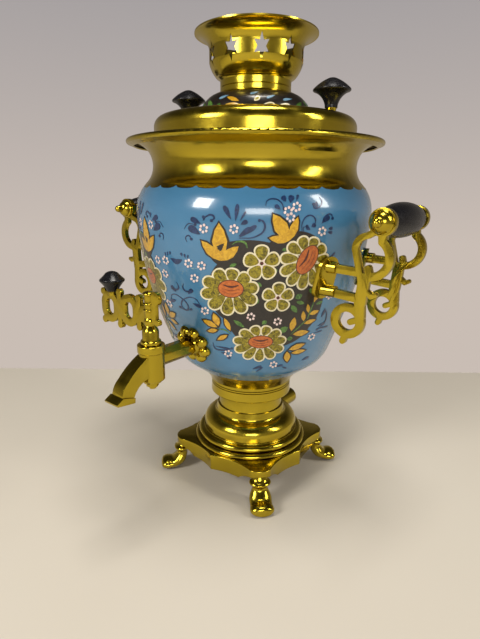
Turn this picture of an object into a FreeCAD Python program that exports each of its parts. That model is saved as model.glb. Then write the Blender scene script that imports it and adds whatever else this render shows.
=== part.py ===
import FreeCAD, Part
import math
import os
import re
import Sketcher
from FreeCAD import Placement, Rotation, Vector

# Electric samovar of painted brass, about three litres.
# Frame: origin on the table under the middle of the pedestal, +Z up, tap towards -Y, handles on +X and -X.
# All lengths are millimetres.

# Driving dimensions
SIZES = {
    # vessel
    "sheet_wall": 1.0,
    "foot_radius": 36.3,
    "vessel_foot": 92.0,
    "body_radius": 97.3,
    "belly_height": 242.0,
    "neck_outer": 85.0,
    "rim_radius": 101.5,
    "rim_height": 295.4,
    # pedestal
    "band_radius": 36.8,
    "stem_radius": 28.8,
    "dome_radius": 43.5,
    "base_top": 33.5,
    "base_depth": 14.0,
    "base_wall": 2.2,
    "corner_reach": 70.0,
    "cusp_reach": 57.0,
    # lid
    "lid_turn": 13.0,
    "lid_top": 315.0,
    "lid_radius": 81.4,
    "lid_dome_radius": 44.6,
    "crown_foot": 333.5,
    "crown_neck": 28.3,
    "crown_bowl": 36.9,
    "crown_radius": 48.2,
    "crown_height": 376.0,
    "star_height": 18.0,
    "star_width": 11.0,
    "star_count": 10,
    "lid_knob_reach": 62.5,
    "lid_knob_radius": 14.2,
    # tap
    "tap_reach": 119.4,
    "waterway": 141.0,
    "barrel_radius": 9.3,
    "barrel_foot": 126.5,
    "barrel_top": 153.5,
    "bore_top": 6.5,
    "bore_foot": 5.3,
    "plug_clearance": 0.05,
    "water_bore": 3.6,
    "spout_reach": 146.6,
    "spout_bore": 3.8,
    "spout_width": 11.0,
    "lever_thick": 3.2,
    # handles
    "handle_reach": 128.0,
    "handle_height": 241.0,
    "plate_offset": 31.5,
    "plate_thick": 4.2,
    "eye_radius": 9.3,
    "grip_radius": 14.5,
    "grip_end": 9.6,
    "rod_radius": 2.5,
    # heater and inlet
    "heater_pitch": 16.0,
    "heater_rod": 4.0,
    "inlet_height": 54.0,
    "pin_pitch": 9.5,
}

doc = FreeCAD.newDocument("samovar")
sheet = doc.addObject("Spreadsheet::Sheet", "dims")
for row, (alias, number) in enumerate(SIZES.items(), 1):
    sheet.set(f"A{row}", alias)
    sheet.set(f"B{row}", str(number))
    sheet.setAlias(f"B{row}", alias)
doc.recompute()

nodes = {}  # node name: the document object that is exported under it


def bound(text):
    """An expression in the sheet's words, in the form that a property is bound to."""
    return re.sub(r"[a-z_]{3,}", lambda m: "dims." + m.group() if m.group() in SIZES else m.group(), text)


def size(text):
    """The value of a number or of an expression in the sheet's words."""
    if isinstance(text, str):
        return float(sheet.evalExpression(bound(text)))
    return float(text)


def bind(obj, field, text):
    """Sets a property to a plain number, or to an expression's value and binds it to the sheet."""
    setattr(obj, field, size(text))
    if isinstance(text, str):
        obj.setExpression(field, bound(text))


def keep(obj, node):
    """Names a finished piece after its node."""
    obj.Label = node
    nodes[node] = obj
    return obj


# Sketches: each loop is a list of corners (across, up) or (across, up, radius). A radius makes the edge
# that arrives at that corner an arc, which turns left for a plus sign and right for a minus sign.


def arc_between(a, b, radius):
    """The arc of at most a half turn from a to b, and whether its own sense runs from b to a."""
    half = (b - a) * 0.5
    reach = math.sqrt(max(radius * radius - half.Length ** 2, 0.0))
    side = Vector(-half.y, half.x, 0).normalize() * (reach if radius > 0 else -reach)
    centre = a + half + side
    start, end = (a, b) if radius > 0 else (b, a)
    angles = [math.atan2(p.y - centre.y, p.x - centre.x) for p in (start, end)]
    circle = Part.Circle(centre, Vector(0, 0, 1), abs(radius))
    return Part.ArcOfCircle(circle, angles[0], angles[1]), radius < 0


def hold_point(sketch, edge, end, across, up):
    """Dimensions one point of a sketch from its origin, bound to the sheet where the size is a text."""
    for axis, kind, text in ((-2, "DistanceX", across), (-1, "DistanceY", up)):
        if abs(size(text)) < 1e-9:
            sketch.addConstraint(Sketcher.Constraint("PointOnObject", edge, end, axis))
            continue
        number = sketch.addConstraint(Sketcher.Constraint(kind, -1, 1, edge, end, size(text)))
        if isinstance(text, str):
            sketch.setExpression(f"Constraints[{number}]", bound(text))


def draw(sketch, corners, closed=True):
    """Adds one loop or open line to a sketch, with every corner held by dimensions."""
    points = [Vector(size(c[0]), size(c[1]), 0) for c in corners]
    count = len(corners)
    first = sketch.GeometryCount
    last = count if closed else count - 1
    edges = []
    backwards = []
    for i in range(last):
        goal = corners[(i + 1) % count]
        if len(goal) > 2:
            edge, back = arc_between(points[i], points[(i + 1) % count], size(goal[2]))
        else:
            edge, back = Part.LineSegment(points[i], points[(i + 1) % count]), False
        edges.append(edge)
        backwards.append(back)
    sketch.addGeometry(edges, False)
    starts = [2 if back else 1 for back in backwards]
    ends = [1 if back else 2 for back in backwards]
    for i in range(last if closed else last - 1):
        j = (i + 1) % last
        sketch.addConstraint(Sketcher.Constraint("Coincident", first + i, ends[i], first + j, starts[j]))
    for i in range(last):
        hold_point(sketch, first + i, starts[i], *corners[i][:2])
    if not closed:
        hold_point(sketch, first + last - 1, ends[-1], *corners[-1][:2])
    for i in range(last):
        goal = corners[(i + 1) % count]
        if len(goal) > 2:
            sketch.addConstraint(Sketcher.Constraint("Radius", first + i, abs(size(goal[2]))))


def draw_circle(sketch, across, up, radius):
    """Adds a dimensioned circle to a sketch."""
    centre = Vector(size(across), size(up), 0)
    edge = sketch.addGeometry(Part.Circle(centre, Vector(0, 0, 1), size(radius)), False)
    hold_point(sketch, edge, 3, across, up)
    number = sketch.addConstraint(Sketcher.Constraint("Radius", edge, size(radius)))
    if isinstance(radius, str):
        sketch.setExpression(f"Constraints[{number}]", bound(radius))


def oval(across, up, half_width, half_height):
    """The corners of a slot with round ends, as wide and high as asked."""
    r = min(half_width, half_height)
    w, h = half_width - r, half_height - r
    corners = [(across - half_width, up - h), (across - w, up - half_height, r)]
    if w:
        corners.append((across + w, up - half_height))
    corners.append((across + half_width, up - h, r))
    if h:
        corners.append((across + half_width, up + h))
    corners.append((across + w, up + half_height, r))
    if w:
        corners.append((across - w, up + half_height))
    if h:
        corners.append((across - half_width, up + h, r))
    else:
        corners[0] = corners[0] + (r,)
    return corners


def body_sketch(body, name, plane="XZ_Plane", raised=0.0):
    """A sketch on one of a body's own origin planes, raised along that plane's normal."""
    sketch = body.newObject("Sketcher::SketchObject", name)
    origin_plane = [f for f in body.Origin.OriginFeatures if f.Role == plane][0]
    sketch.AttachmentSupport = [(origin_plane, "")]
    sketch.MapMode = "FlatFace"
    if raised:
        sketch.AttachmentOffset = Placement(Vector(0, 0, size(raised)), Rotation())
        if isinstance(raised, str):
            sketch.setExpression(".AttachmentOffset.Base.z", bound(raised))
    return sketch


def free_sketch(name, placement):
    sketch = doc.addObject("Sketcher::SketchObject", name)
    sketch.Placement = placement
    return sketch


def upright(across=0.0):
    """Stands a free sketch in the XZ plane at a distance along Y."""
    return Placement(Vector(0, size(across), 0), Rotation(Vector(1, 0, 0), 90))


def lathe(name, corners, placement=None):
    """A body turned from one closed section about its own upright axis."""
    body = doc.addObject("PartDesign::Body", "Body_" + name)
    sketch = body_sketch(body, "Section_" + name)
    draw(sketch, corners)
    turn = body.newObject("PartDesign::Revolution", "Turn_" + name)
    turn.Profile = sketch
    turn.ReferenceAxis = (sketch, ["V_Axis"])
    turn.Angle = 360.0
    if placement:
        body.Placement = placement
    return body


def turned(node, corners, placement=None):
    """A piece that is turned on the lathe and needs nothing more."""
    return keep(lathe(node, corners, placement), node)


def pad_on(body, name, sketch, depth, both_ways=True):
    """Pads a sketch of a body, half to each side of its plane or along its normal."""
    pad = body.newObject("PartDesign::Pad", name)
    pad.Profile = sketch
    bind(pad, "Length", depth)
    pad.SideType = "Symmetric" if both_ways else "One side"
    return pad


def pocket_through(body, name, sketch, both_ways=False):
    """Cuts a sketch of a body right through it."""
    pocket = body.newObject("PartDesign::Pocket", name)
    pocket.Profile = sketch
    pocket.Type = "ThroughAll"
    pocket.SideType = "Symmetric" if both_ways else "One side"
    return pocket


def spin(name, section, base=(0, 0, 0)):
    """Turns an upright section about a vertical axis."""
    turn = doc.addObject("Part::Revolution", name)
    turn.Source = section
    turn.Axis = Vector(0, 0, 1)
    turn.Base = Vector(*base)
    turn.Angle = 360
    turn.Solid = True
    return turn


def thickened(name, line, amount, mode, join, placement):
    """The face made by giving an open line a thickness, on one side (Skin) or on both (Pipe)."""
    sketch = free_sketch(name + "_line", placement)
    draw(sketch, line, closed=False)
    section = doc.addObject("Part::Offset2D", name + "_section")
    section.Source = sketch
    section.Mode = mode
    section.Join = join
    section.Fill = True
    bind(section, "Value", amount)
    return section


def spun(name, line, wall):
    """Sheet metal spun over a form, on the left of the line for a plus sign and on the right for a minus."""
    return spin(name, thickened(name, line, wall, "Skin", "Intersection", upright()))


def drawn_out(name, section, depth, along=(0, 1, 0), both_ways=True):
    """Extrudes a section along a direction."""
    solid = doc.addObject("Part::Extrusion", name)
    solid.Base = section
    solid.DirMode = "Custom"
    solid.Dir = Vector(*along)
    bind(solid, "LengthFwd", depth)
    solid.Symmetric = both_ways
    solid.Solid = True
    return solid


def slab(name, loops, across, depth):
    """A flat piece in the XZ plane at a distance along Y; a loop of three numbers is a circle."""
    sketch = free_sketch(name + "_outline", upright(across))
    for loop in loops:
        if isinstance(loop, tuple):
            draw_circle(sketch, *loop)
        else:
            draw(sketch, loop)
    return drawn_out(name, sketch, depth)


def side_slab(name, corners, depth):
    """A flat piece in the YZ plane, drawn by its distance in front of the axis."""
    facing = Rotation(Vector(0, -1, 0), Vector(0, 0, 1), Vector(-1, 0, 0))
    sketch = free_sketch(name + "_outline", Placement(Vector(0, 0, 0), facing))
    draw(sketch, corners)
    return drawn_out(name, sketch, depth, (1, 0, 0))


def strand(name, line, width, across, depth):
    """A flat bar that follows a line in the XZ plane, with round ends."""
    r = width / 2
    if len(line) > 2:
        return drawn_out(name, thickened(name, line, r, "Pipe", "Arc", upright(across)), depth)
    a, b = (Vector(size(p[0]), size(p[1]), 0) for p in line)
    run = (b - a).normalize() * r
    beside = Vector(-run.y, run.x, 0)
    points = [a + beside, a - run, a - beside, b - beside, b + run, b + beside]
    outline = [(p.x, p.y) if i in (0, 3) else (p.x, p.y, r) for i, p in enumerate(points)]
    return slab(name, [outline], across, depth)


def place(point):
    return Vector(*[size(v) for v in point])


def block(name, low, high):
    """A Part::Box between two corners."""
    box = doc.addObject("Part::Box", name)
    for field, a, b in zip(("Length", "Width", "Height"), low, high):
        setattr(box, field, size(b) - size(a))
    box.Placement.Base = place(low)
    return box


def rod(name, radius, start, end):
    """A Part::Cylinder between two points."""
    a, b = place(start), place(end)
    cylinder = doc.addObject("Part::Cylinder", name)
    bind(cylinder, "Radius", radius)
    cylinder.Height = (b - a).Length
    cylinder.Placement = Placement(a, Rotation(Vector(0, 0, 1), b - a))
    return cylinder


def prism(name, sides, across_flats, start, end, spin_by=0.0):
    """A bar with a regular section between two points."""
    a, b = place(start), place(end)
    bar = doc.addObject("Part::Prism", name)
    bar.Polygon = sides
    bar.Circumradius = across_flats / 2 / math.cos(math.pi / sides)
    bar.Height = (b - a).Length
    turn = Rotation(Vector(0, 0, 1), b - a).multiply(Rotation(Vector(0, 0, 1), spin_by))
    bar.Placement = Placement(a, turn)
    return bar


def ball(name, radius, centre, placement=None):
    sphere = doc.addObject("Part::Sphere", name)
    sphere.Radius = radius
    at = Placement(place(centre), Rotation())
    sphere.Placement = placement.multiply(at) if placement else at
    return sphere


def fused(name, shapes):
    joined = doc.addObject("Part::MultiFuse", name)
    joined.Shapes = shapes
    return joined


def cut(name, base, tool):
    result = doc.addObject("Part::Cut", name)
    result.Base = base
    result.Tool = tool
    return result


def common(name, base, tool):
    result = doc.addObject("Part::Common", name)
    result.Base = base
    result.Tool = tool
    return result


def nut(name, across_flats, bore, start, end):
    """A hexagon nut between two points, without its thread form."""
    blank = prism(name + "_blank", 6, across_flats, start, end)
    return cut(name, blank, rod(name + "_bore", bore, start, end))


def ring(name, radius, bore, start, end):
    """A flat washer or collar between two points."""
    return cut(name, rod(name + "_blank", radius, start, end), rod(name + "_bore", bore, start, end))


def mirrored(node, source, normal):
    """The other hand of a piece, mirrored in a plane through the origin."""
    copy = doc.addObject("Part::Mirroring", "Mirror_" + node)
    copy.Source = source
    copy.Normal = normal
    return keep(copy, node)


def group(node, shapes):
    """Like solids that share one node."""
    together = doc.addObject("Part::Compound", "Group_" + node)
    together.Links = shapes
    return keep(together, node)


def swept(name, edges, radius, heading):
    """A round bar along a path of edges that starts in a given direction."""
    path = Part.Wire(edges)
    circle = Part.Wire([Part.makeCircle(radius, edges[0].firstVertex().Point, Vector(*heading))])
    bar = doc.addObject("Part::Feature", name)
    bar.Shape = path.makePipeShell([circle], True, False)
    bar.Placement = Placement()
    return bar


def path_of(points, bend):
    """The edges of straight runs joined by tangent bends."""
    points = [Vector(*p) for p in points]
    edges = []
    at = points[0]
    for i in range(1, len(points) - 1):
        before = (points[i - 1] - points[i]).normalize()
        after = (points[i + 1] - points[i]).normalize()
        half = before.getAngle(after) / 2
        back = bend / math.tan(half)
        start = points[i] + before * back
        end = points[i] + after * back
        inward = (before + after).normalize()
        middle = points[i] + inward * (bend / math.sin(half) - bend)
        if (start - at).Length > 1e-6:
            edges.append(Part.LineSegment(at, start).toShape())
        edges.append(Part.Arc(start, middle, end).toShape())
        at = end
    if (points[-1] - at).Length > 1e-6:
        edges.append(Part.LineSegment(at, points[-1]).toShape())
    return edges


# Vessel: sheet brass spun to a pear shape, with a waisted neck, a wide flare and a hem rolled under.
# The line runs up the outside from the foot; the wall lies inside it.
BELLY = [
    ("foot_radius", "vessel_foot"),
    (50.0, 107.7, -45.0),
    (59.9, 114.8),
    (69.3, 127.0, 26.4),
    (81.6, 160.0),
    ("body_radius", "belly_height", 264.0),
    (89.0, 264.4, 32.5),
]
NECK = [
    ("neck_outer", 286.0, -19.0),
    (96.0, 294.5, -15.2),
    ("rim_radius", "rim_height + 1"),
    ("rim_radius + 1", "rim_height", -1.0),
    ("rim_radius", "rim_height - 1", -1.0),
    ("rim_radius - 4", "rim_height - 2.6"),
]
shell_blank = spun("Shell_blank", [(30.0, "vessel_foot")] + BELLY + NECK, "sheet_wall")


def vessel_solid(name, gap):
    """The solid that fills the vessel out to its painted face, grown by a gap, to seat fittings against."""
    grown = [(f"{c[0]} + {gap}" if isinstance(c[0], str) else c[0] + gap,) + c[1:] for c in BELLY]
    sketch = free_sketch(name + "_section", upright())
    draw(sketch, [(0, "vessel_foot")] + grown + [(0, 264.4)])
    return spin(name, sketch)


wall_face = vessel_solid("Wall_face", 0.0)
gasket_face = vessel_solid("Gasket_face", 0.8)
pad_face = vessel_solid("Pad_face", 3.2)
cavity_face = vessel_solid("Cavity_face", -1.12)

# Holes in the wall for the tap's shank and for the studs of the four handle brackets.
STUD_HEIGHTS = (208.0, 191.0)
wall_holes = [rod("Shank_hole", 6.1, (0, -60, "waterway"), (0, -90, "waterway"))]
for side in (-1, 1):
    for hand in (-1, 1):
        for height in STUD_HEIGHTS:
            at = hand * size("plate_offset")
            name = f"Stud_hole_{len(wall_holes)}"
            wall_holes.append(rod(name, 2.1, (side * 70, at, height), (side * 100, at, height)))
keep(cut("Shell", shell_blank, fused("Wall_holes", wall_holes)), "body_shell")

# Floor of the vessel: a disc soldered on the turned-in foot, with holes for the tie rod and the heater.
floor_blank = rod("Floor_blank", 35.0, (0, 0, "vessel_foot + 1"), (0, 0, "vessel_foot + 3"))
floor_holes = fused(
    "Floor_holes",
    [
        rod("Tie_hole", 3.1, (0, 0, 90), (0, 0, 98)),
        rod("Bush_hole_right", 7.2, ("heater_pitch", 0, 90), ("heater_pitch", 0, 98)),
        rod("Bush_hole_left", 7.2, ("-heater_pitch", 0, 90), ("-heater_pitch", 0, 98)),
    ],
)
keep(cut("Floor", floor_blank, floor_holes), "vessel_floor")

# Pedestal: a turned collar with two fine grooves and a waist, over a spun dome with two rolled rings.
turned(
    "foot_collar",
    [
        (31.0, "vessel_foot - 1.4"),
        (35.2, "vessel_foot - 1.4"),
        (35.2, 81.0),
        ("stem_radius - 0.8", 77.0, 40.0),
        ("stem_radius - 0.6", 66.4),
        ("stem_radius + 0.8", 66.4),
        ("stem_radius + 0.6", 76.6, -40.0),
        (33.2, 79.0, -3.4),
        ("band_radius - 1.0", 80.0),
        ("band_radius", 81.0, 1.0),
        ("band_radius - 0.3", 88.1),
        ("band_radius - 1.0", 88.5),
        ("band_radius - 0.4", 88.9),
        ("band_radius - 0.5", 89.9),
        ("band_radius - 1.1", 90.3),
        ("band_radius - 0.5", 90.7),
        ("band_radius - 0.6", "vessel_foot"),
        (31.0, "vessel_foot"),
    ],
)
dome_blank = lathe(
    "Dome_blank",
    [
        ("dome_radius + 7.0", "base_top"),
        ("dome_radius + 8.2", "base_top"),
        ("dome_radius + 8.6", 35.4, 1.6),
        ("dome_radius + 5.0", 37.6, 3.0),
        ("dome_radius + 4.0", 38.0),
        ("dome_radius + 5.4", 40.6, 2.2),
        ("dome_radius + 1.4", 43.2, 3.2),
        ("dome_radius", 44.0, -1.0),
        ("dome_radius", 48.0),
        (33.6, 59.2, 10.6),
        (32.0, 61.8, -3.0),
        (30.9, 66.4),
        (27.4, 66.4),
        (27.4, 65.2),
        (29.8, 65.2),
        (30.6, 61.4),
        (33.0, 57.6),
        ("dome_radius - 1.2", 47.6, -9.6),
        ("dome_radius - 1.2", 43.6),
        ("dome_radius + 3.7", 40.9),
        ("dome_radius + 2.8", 37.4),
        ("dome_radius + 7.0", 35.2),
    ],
)
shroud_hole = slab("Shroud_hole", [oval(0, 54.0, 16.03, 8.03)], 45.0, 50.0)
keep(cut("Dome", dome_blank, shroud_hole), "foot_dome")

# Base: a hollow casting with four rounded corners, four cusps between them, and arches over the legs.
# It is drawn with its corners on the axes and turned by an eighth.
base = keep(doc.addObject("PartDesign::Body", "Base"), "base_plate")


def base_outline(reach, half, tip, cusp, hollow):
    """Rounded corners, with hollow curves that meet in a cusp between them."""
    corners = []
    for quarter in range(4):
        for across, up, radius in ((reach, -half, hollow), (reach, half, tip), (cusp, cusp, hollow)):
            for _ in range(quarter):
                turned_up = across
                across = f"-({up})" if isinstance(up, str) else -up
                up = turned_up
            corners.append((across, up, radius))
    return corners


cusp_at = "cusp_reach * 0.70711"
block_sketch = body_sketch(base, "Base_outline", "XY_Plane", "base_top - base_depth")
draw(block_sketch, base_outline("corner_reach - 3", 8.5, 13.5, cusp_at, -60.0))
pad_on(base, "Base_block", block_sketch, "base_depth", False)
hollow_sketch = body_sketch(base, "Base_hollow", "XY_Plane", "base_top - base_depth")
draw(hollow_sketch, base_outline("corner_reach - 3 - base_wall", 7.4, 12.0, f"{cusp_at} - base_wall", -62.2))
inside = base.newObject("PartDesign::Pocket", "Base_inside")
inside.Profile = hollow_sketch
bind(inside, "Length", "base_depth - 2.5")
inside.Reversed = True
middle_sketch = body_sketch(base, "Base_middle", "XY_Plane", "base_top")
draw_circle(middle_sketch, 0, 0, 26.0)
pocket_through(base, "Base_hole", middle_sketch)
for plane in ("YZ_Plane", "XZ_Plane"):
    arch_sketch = body_sketch(base, "Arch_" + plane[:2], plane)
    draw_circle(arch_sketch, 0, 6.0, 22.0)
    pocket_through(base, "Arches_" + plane[:2], arch_sketch, True)
boss_sketch = body_sketch(base, "Boss_outline", "XY_Plane", 27.5)
draw_circle(boss_sketch, 54.0, 0, 4.4)
draw_circle(boss_sketch, 54.0, 0, 1.6)
boss = pad_on(base, "Boss", boss_sketch, 3.6, False)
bosses = base.newObject("PartDesign::PolarPattern", "Bosses")
bosses.Originals = [boss]
bosses.Axis = (boss_sketch, ["N_Axis"])
bosses.Angle = 360
bosses.Occurrences = 4
base.Tip = bosses
base.Placement = Placement(Vector(0, 0, 0), Rotation(Vector(0, 0, 1), 45))

# Legs: four cast scrolled feet under the corners, each held by one screw from below.
LEG_SIDE = [
    (76.5, 0.0),
    (82.5, 0.0),
    (85.6, 6.2, 6.4),
    (79.5, 12.6, 6.2),
    (76.5, 12.2),
    (68.6, 20.5, -14.0),
    (65.0, 27.0, -20.0),
    (65.0, 30.95),
    (58.6, 30.95),
    (60.4, 19.0, -40.0),
    (66.5, 6.5, 30.0),
]
TOE_SIDE = [(76.5, 0), (82.5, 0), (85.6, 6.2, 6.4), (79.5, 12.6, 6.2), (73.2, 6.2, 6.3)]
LUG_SIDE = [(49.6, 24.2), (60.0, 24.2), (60.0, 27.4), (49.6, 27.4)]
LEGS = (("front_right", -45), ("back_right", 45), ("back_left", 135), ("front_left", 225))
screws = []
for corner, angle in LEGS:
    leg = keep(doc.addObject("PartDesign::Body", "Leg_" + corner), "leg_" + corner)
    for part, corners, width in (("Web", LEG_SIDE, 11.2), ("Toe", TOE_SIDE, 16.0), ("Lug", LUG_SIDE, 9.0)):
        side_view = body_sketch(leg, f"{part}_side_{corner}")
        draw(side_view, corners)
        pad_on(leg, f"{part}_{corner}", side_view, width)
    hole_sketch = body_sketch(leg, "Screw_hole_" + corner, "XY_Plane", 31.0)
    draw_circle(hole_sketch, 54.0, 0, 2.15)
    pocket_through(leg, "Screw_way_" + corner, hole_sketch)
    turn = Rotation(Vector(0, 0, 1), angle)
    leg.Placement = Placement(Vector(0, 0, 0), turn)
    at = turn.multVec(Vector(54, 0, 0))
    shank = rod("Foot_screw_shank_" + corner, 1.55, (at.x, at.y, 24.0), (at.x, at.y, 30.6))
    head = rod("Foot_screw_head_" + corner, 3.6, (at.x, at.y, 21.6), (at.x, at.y, 24.2))
    screws.append(fused("Foot_screw_" + corner, [shank, head]))
group("foot_screws", screws)

# Tie rod: draws the vessel, the collar, the dome and the base together.
keep(ring("Clamp", 34.0, 3.1, (0, 0, 29.0), (0, 0, "base_top - 2.5")), "clamp_disc")
keep(rod("Tie", 3.0, (0, 0, 21.0), (0, 0, 101.5)), "tie_rod")
keep(ring("Seal", 6.4, 3.05, (0, 0, 95.0), (0, 0, 96.6)), "tie_seal")
lower_nut = nut("Tie_nut_lower", 10.0, 3.0, (0, 0, 24.0), (0, 0, 29.0))
upper_nut = nut("Tie_nut_upper", 10.0, 3.0, (0, 0, 96.6), (0, 0, 100.0))
group("tie_nuts", [lower_nut, upper_nut])

# Heater: one tube that rises from its bushing, makes a wide level loop and comes down to the other bushing.
pitch = size("heater_pitch")
LOOP = 114.0
BEND = 8.0
short = BEND * (1 - math.cos(math.pi / 4))
half_path = [
    [(pitch, 0, 95.5), (pitch, 0, LOOP - BEND)],
    [(pitch, 0, LOOP - BEND), (pitch + short, 0, LOOP - short), (pitch + BEND, 0, LOOP)],
    [(pitch + BEND, 0, LOOP), (26, 0, LOOP)],
    [(26, 0, LOOP), (34 - short, short, LOOP), (34, BEND, LOOP)],
    [(34, BEND, LOOP), (0, 34 + BEND, LOOP), (-34, BEND, LOOP)],
]
heater_edges = []
for points in half_path + [[(-x, y, z) for x, y, z in reversed(part)] for part in reversed(half_path[:4])]:
    ends = [Vector(*p) for p in points]
    heater_edges.append((Part.Arc(*ends) if len(ends) == 3 else Part.LineSegment(*ends)).toShape())
keep(swept("Heater", heater_edges, size("heater_rod"), (0, 0, 1)), "heater_tube")
bushings, gaskets, heater_nuts, terminals = [], [], [], []
for side, hand in ((-1, "left"), (1, "right")):
    x = side * pitch
    flange = rod(f"Bush_flange_{hand}", 9.0, (x, 0, 96.5), (x, 0, 99.5))
    thread = rod(f"Bush_thread_{hand}", 7.0, (x, 0, 84.0), (x, 0, 96.6))
    solid = fused(f"Bush_blank_{hand}", [flange, thread])
    socket = rod(f"Bush_socket_{hand}", "heater_rod + 0.02", (x, 0, 95.4), (x, 0, 100))
    feed = rod(f"Bush_feed_{hand}", 1.5, (x, 0, 83), (x, 0, 96))
    bushings.append(cut(f"Bush_{hand}", solid, fused(f"Bush_holes_{hand}", [socket, feed])))
    gaskets.append(ring(f"Bush_gasket_{hand}", 9.0, 7.05, (x, 0, 95.0), (x, 0, 96.5)))
    heater_nuts.append(nut(f"Bush_nut_{hand}", 17.0, 7.0, (x, 0, 88.5), (x, 0, 93.0)))
    terminals.append(rod(f"Terminal_{hand}", 1.5, (x, 0, 76.0), (x, 0, 95.4)))
group("heater_bushings", bushings)
group("heater_gaskets", gaskets)
group("heater_nuts", heater_nuts)
group("heater_terminals", terminals)

# Power inlet: an oval brass shroud let into the back of the dome, with two round pins in a ceramic block.
shroud_outer = slab("Shroud_outer", [oval(0, 54.0, 16.0, 8.0)], 42.5, 29.0)
shroud_inner = slab("Shroud_inner", [oval(0, 54.0, 14.8, 6.8)], 42.5, 31.0)
keep(cut("Shroud", shroud_outer, shroud_inner), "inlet_shroud")
block_blank = slab("Block_blank", [oval(0, 54.0, 14.78, 6.78)], 33.5, 9.0)
pins, pin_holes, leads = [], [], []
for side, hand in ((-1, "left"), (1, "right")):
    x = side * size("pin_pitch")
    pins.append(rod(f"Pin_{hand}", 2.5, (x, 26, "inlet_height"), (x, 53, "inlet_height")))
    pin_holes.append(rod(f"Pin_hole_{hand}", 2.5, (x, 20, "inlet_height"), (x, 60, "inlet_height")))
    run = [(x, 26, 54), (x, 13, 54), (pitch * side, 0, 64), (pitch * side, 0, 76)]
    leads.append(swept(f"Lead_{hand}", path_of(run, 4.0), 1.3, (0, -1, 0)))
earth_slot = block("Earth_slot", (-3, 20, 59.4), (3, 60, 60.2))
keep(cut("Block", block_blank, fused("Block_holes", pin_holes + [earth_slot])), "inlet_block")
group("inlet_pins", pins)
keep(block("Earth", (-3, 27, 59.4), (3, 50, 60.2)), "earth_strip")
group("lead_wires", leads)

# Tap body: a barrel with a tapered bore, an eight-sided arm to the vessel, and a hooked spout.
TAP_Y = "-tap_reach"
barrel_section = free_sketch("Barrel_section", upright(TAP_Y))
draw(
    barrel_section,
    [
        (0, "barrel_foot"),
        ("barrel_radius - 1", "barrel_foot"),
        ("barrel_radius", "barrel_foot + 1", 1.0),
        ("barrel_radius", 147.6),
        ("barrel_radius + 0.6", 148.2),
        ("barrel_radius + 0.6", "barrel_top - 0.6"),
        ("barrel_radius", "barrel_top", 0.6),
        (0, "barrel_top"),
    ],
)
barrel = spin("Barrel", barrel_section, (0, -size("tap_reach"), 0))
arm_blank = prism("Arm_blank", 8, 13.0, (0, -74, "waterway + 0.8"), (0, TAP_Y, "waterway + 0.8"), 22.5)
arm = cut("Arm", arm_blank, gasket_face)
shank = rod("Shank", 6.0, (0, -54, "waterway"), (0, -82, "waterway"))
spout = side_slab(
    "Spout",
    [
        (118.0, 131.0),
        (126.3, 130.9),
        (140.3, 122.0, -16.5),
        (142.0, 117.5),
        (151.5, 118.7),
        (151.0, 124.0),
        (145.0, 133.7, 15.0),
        (126.0, 147.0, 60.0),
        (118.0, 147.5),
    ],
    "spout_width",
)
lip = side_slab(
    "Lip",
    [(141.4, 117.5), (156.0, 119.5), (156.5, 121.0), (151.2, 124.0), (141.0, 121.0)],
    "spout_width + 3",
)
taper = doc.addObject("Part::Cone", "Taper_bore")
bind(taper, "Radius1", "bore_foot")
bind(taper, "Radius2", "bore_top")
bind(taper, "Height", "barrel_top - barrel_foot")
taper.Placement.Base = place((0, TAP_Y, "barrel_foot"))
tap_openings = fused(
    "Tap_openings",
    [
        taper,
        rod("Shank_bore", 3.5, (0, -50, "waterway"), (0, TAP_Y, "waterway")),
        rod("Spout_way", "water_bore", (0, -118.5, 140.5), (0, -146.0, 126.6)),
        rod("Spout_mouth", "spout_bore", (0, "-spout_reach", 110.0), (0, "-spout_reach", 124.5)),
    ],
)
keep(cut("Tap", fused("Tap_blank", [barrel, arm, shank, spout, lip]), tap_openings), "tap_body")

# Rosette: a cast shell of round petals between the arm and the vessel, over a sealing ring.
tilt = math.radians(20.5)
outward = Vector(0, -math.cos(tilt), -math.sin(tilt))
facing = Rotation(Vector(1, 0, 0), Vector(0, -math.sin(tilt), math.cos(tilt)), outward)
rosette_at = Placement(Vector(0, -75.4, 142.5), facing)
petals = [
    ball("Rosette_boss", 9.6, (0, 0, -1.0), rosette_at),
    rod("Rosette_disc", 12.0, (0, -69.8, 144.6), (0, -78.2, 141.5)),
]
for i in range(8):
    angle = math.radians(22.5 + 45 * i)
    petals.append(ball(f"Petal_{i}", 5.2, (10.8 * math.cos(angle), 12.0 * math.sin(angle), 0), rosette_at))
arm_socket = prism("Arm_socket", 8, 13.1, (0, -60, "waterway + 0.8"), (0, -110, "waterway + 0.8"), 22.5)
through_wall = rod("Through_wall", 6.1, (0, -50, "waterway"), (0, -95, "waterway"))
rosette_cuts = fused("Rosette_cuts", [arm_socket, through_wall, gasket_face])
keep(cut("Rosette", fused("Rosette_blank", petals), rosette_cuts), "tap_rosette")
gasket_disc = rod("Gasket_disc", 10.5, (0, -60, "waterway"), (0, -90, "waterway"))
gasket_layer = cut("Gasket_layer", common("Gasket_blank", gasket_disc, gasket_face), wall_face)
keep(cut("Gasket", gasket_layer, rod("Gasket_bore", 6.1, (0, -50, 141), (0, -95, 141))), "tap_gasket")
saddle_disc = rod("Tap_saddle_disc", 11.0, (0, -62, "waterway"), (0, -90, "waterway"))
saddle_blank = common("Tap_saddle_blank", saddle_disc, cavity_face)
saddle_bore = rod("Tap_saddle_bore", 6.1, (0, -50, "waterway"), (0, -95, "waterway"))
keep(cut("Tap_saddle", saddle_blank, saddle_bore), "tap_washer")
keep(nut("Tap_nut", 19.0, 6.0, (0, -56, "waterway"), (0, -62, "waterway")), "tap_nut")

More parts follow.
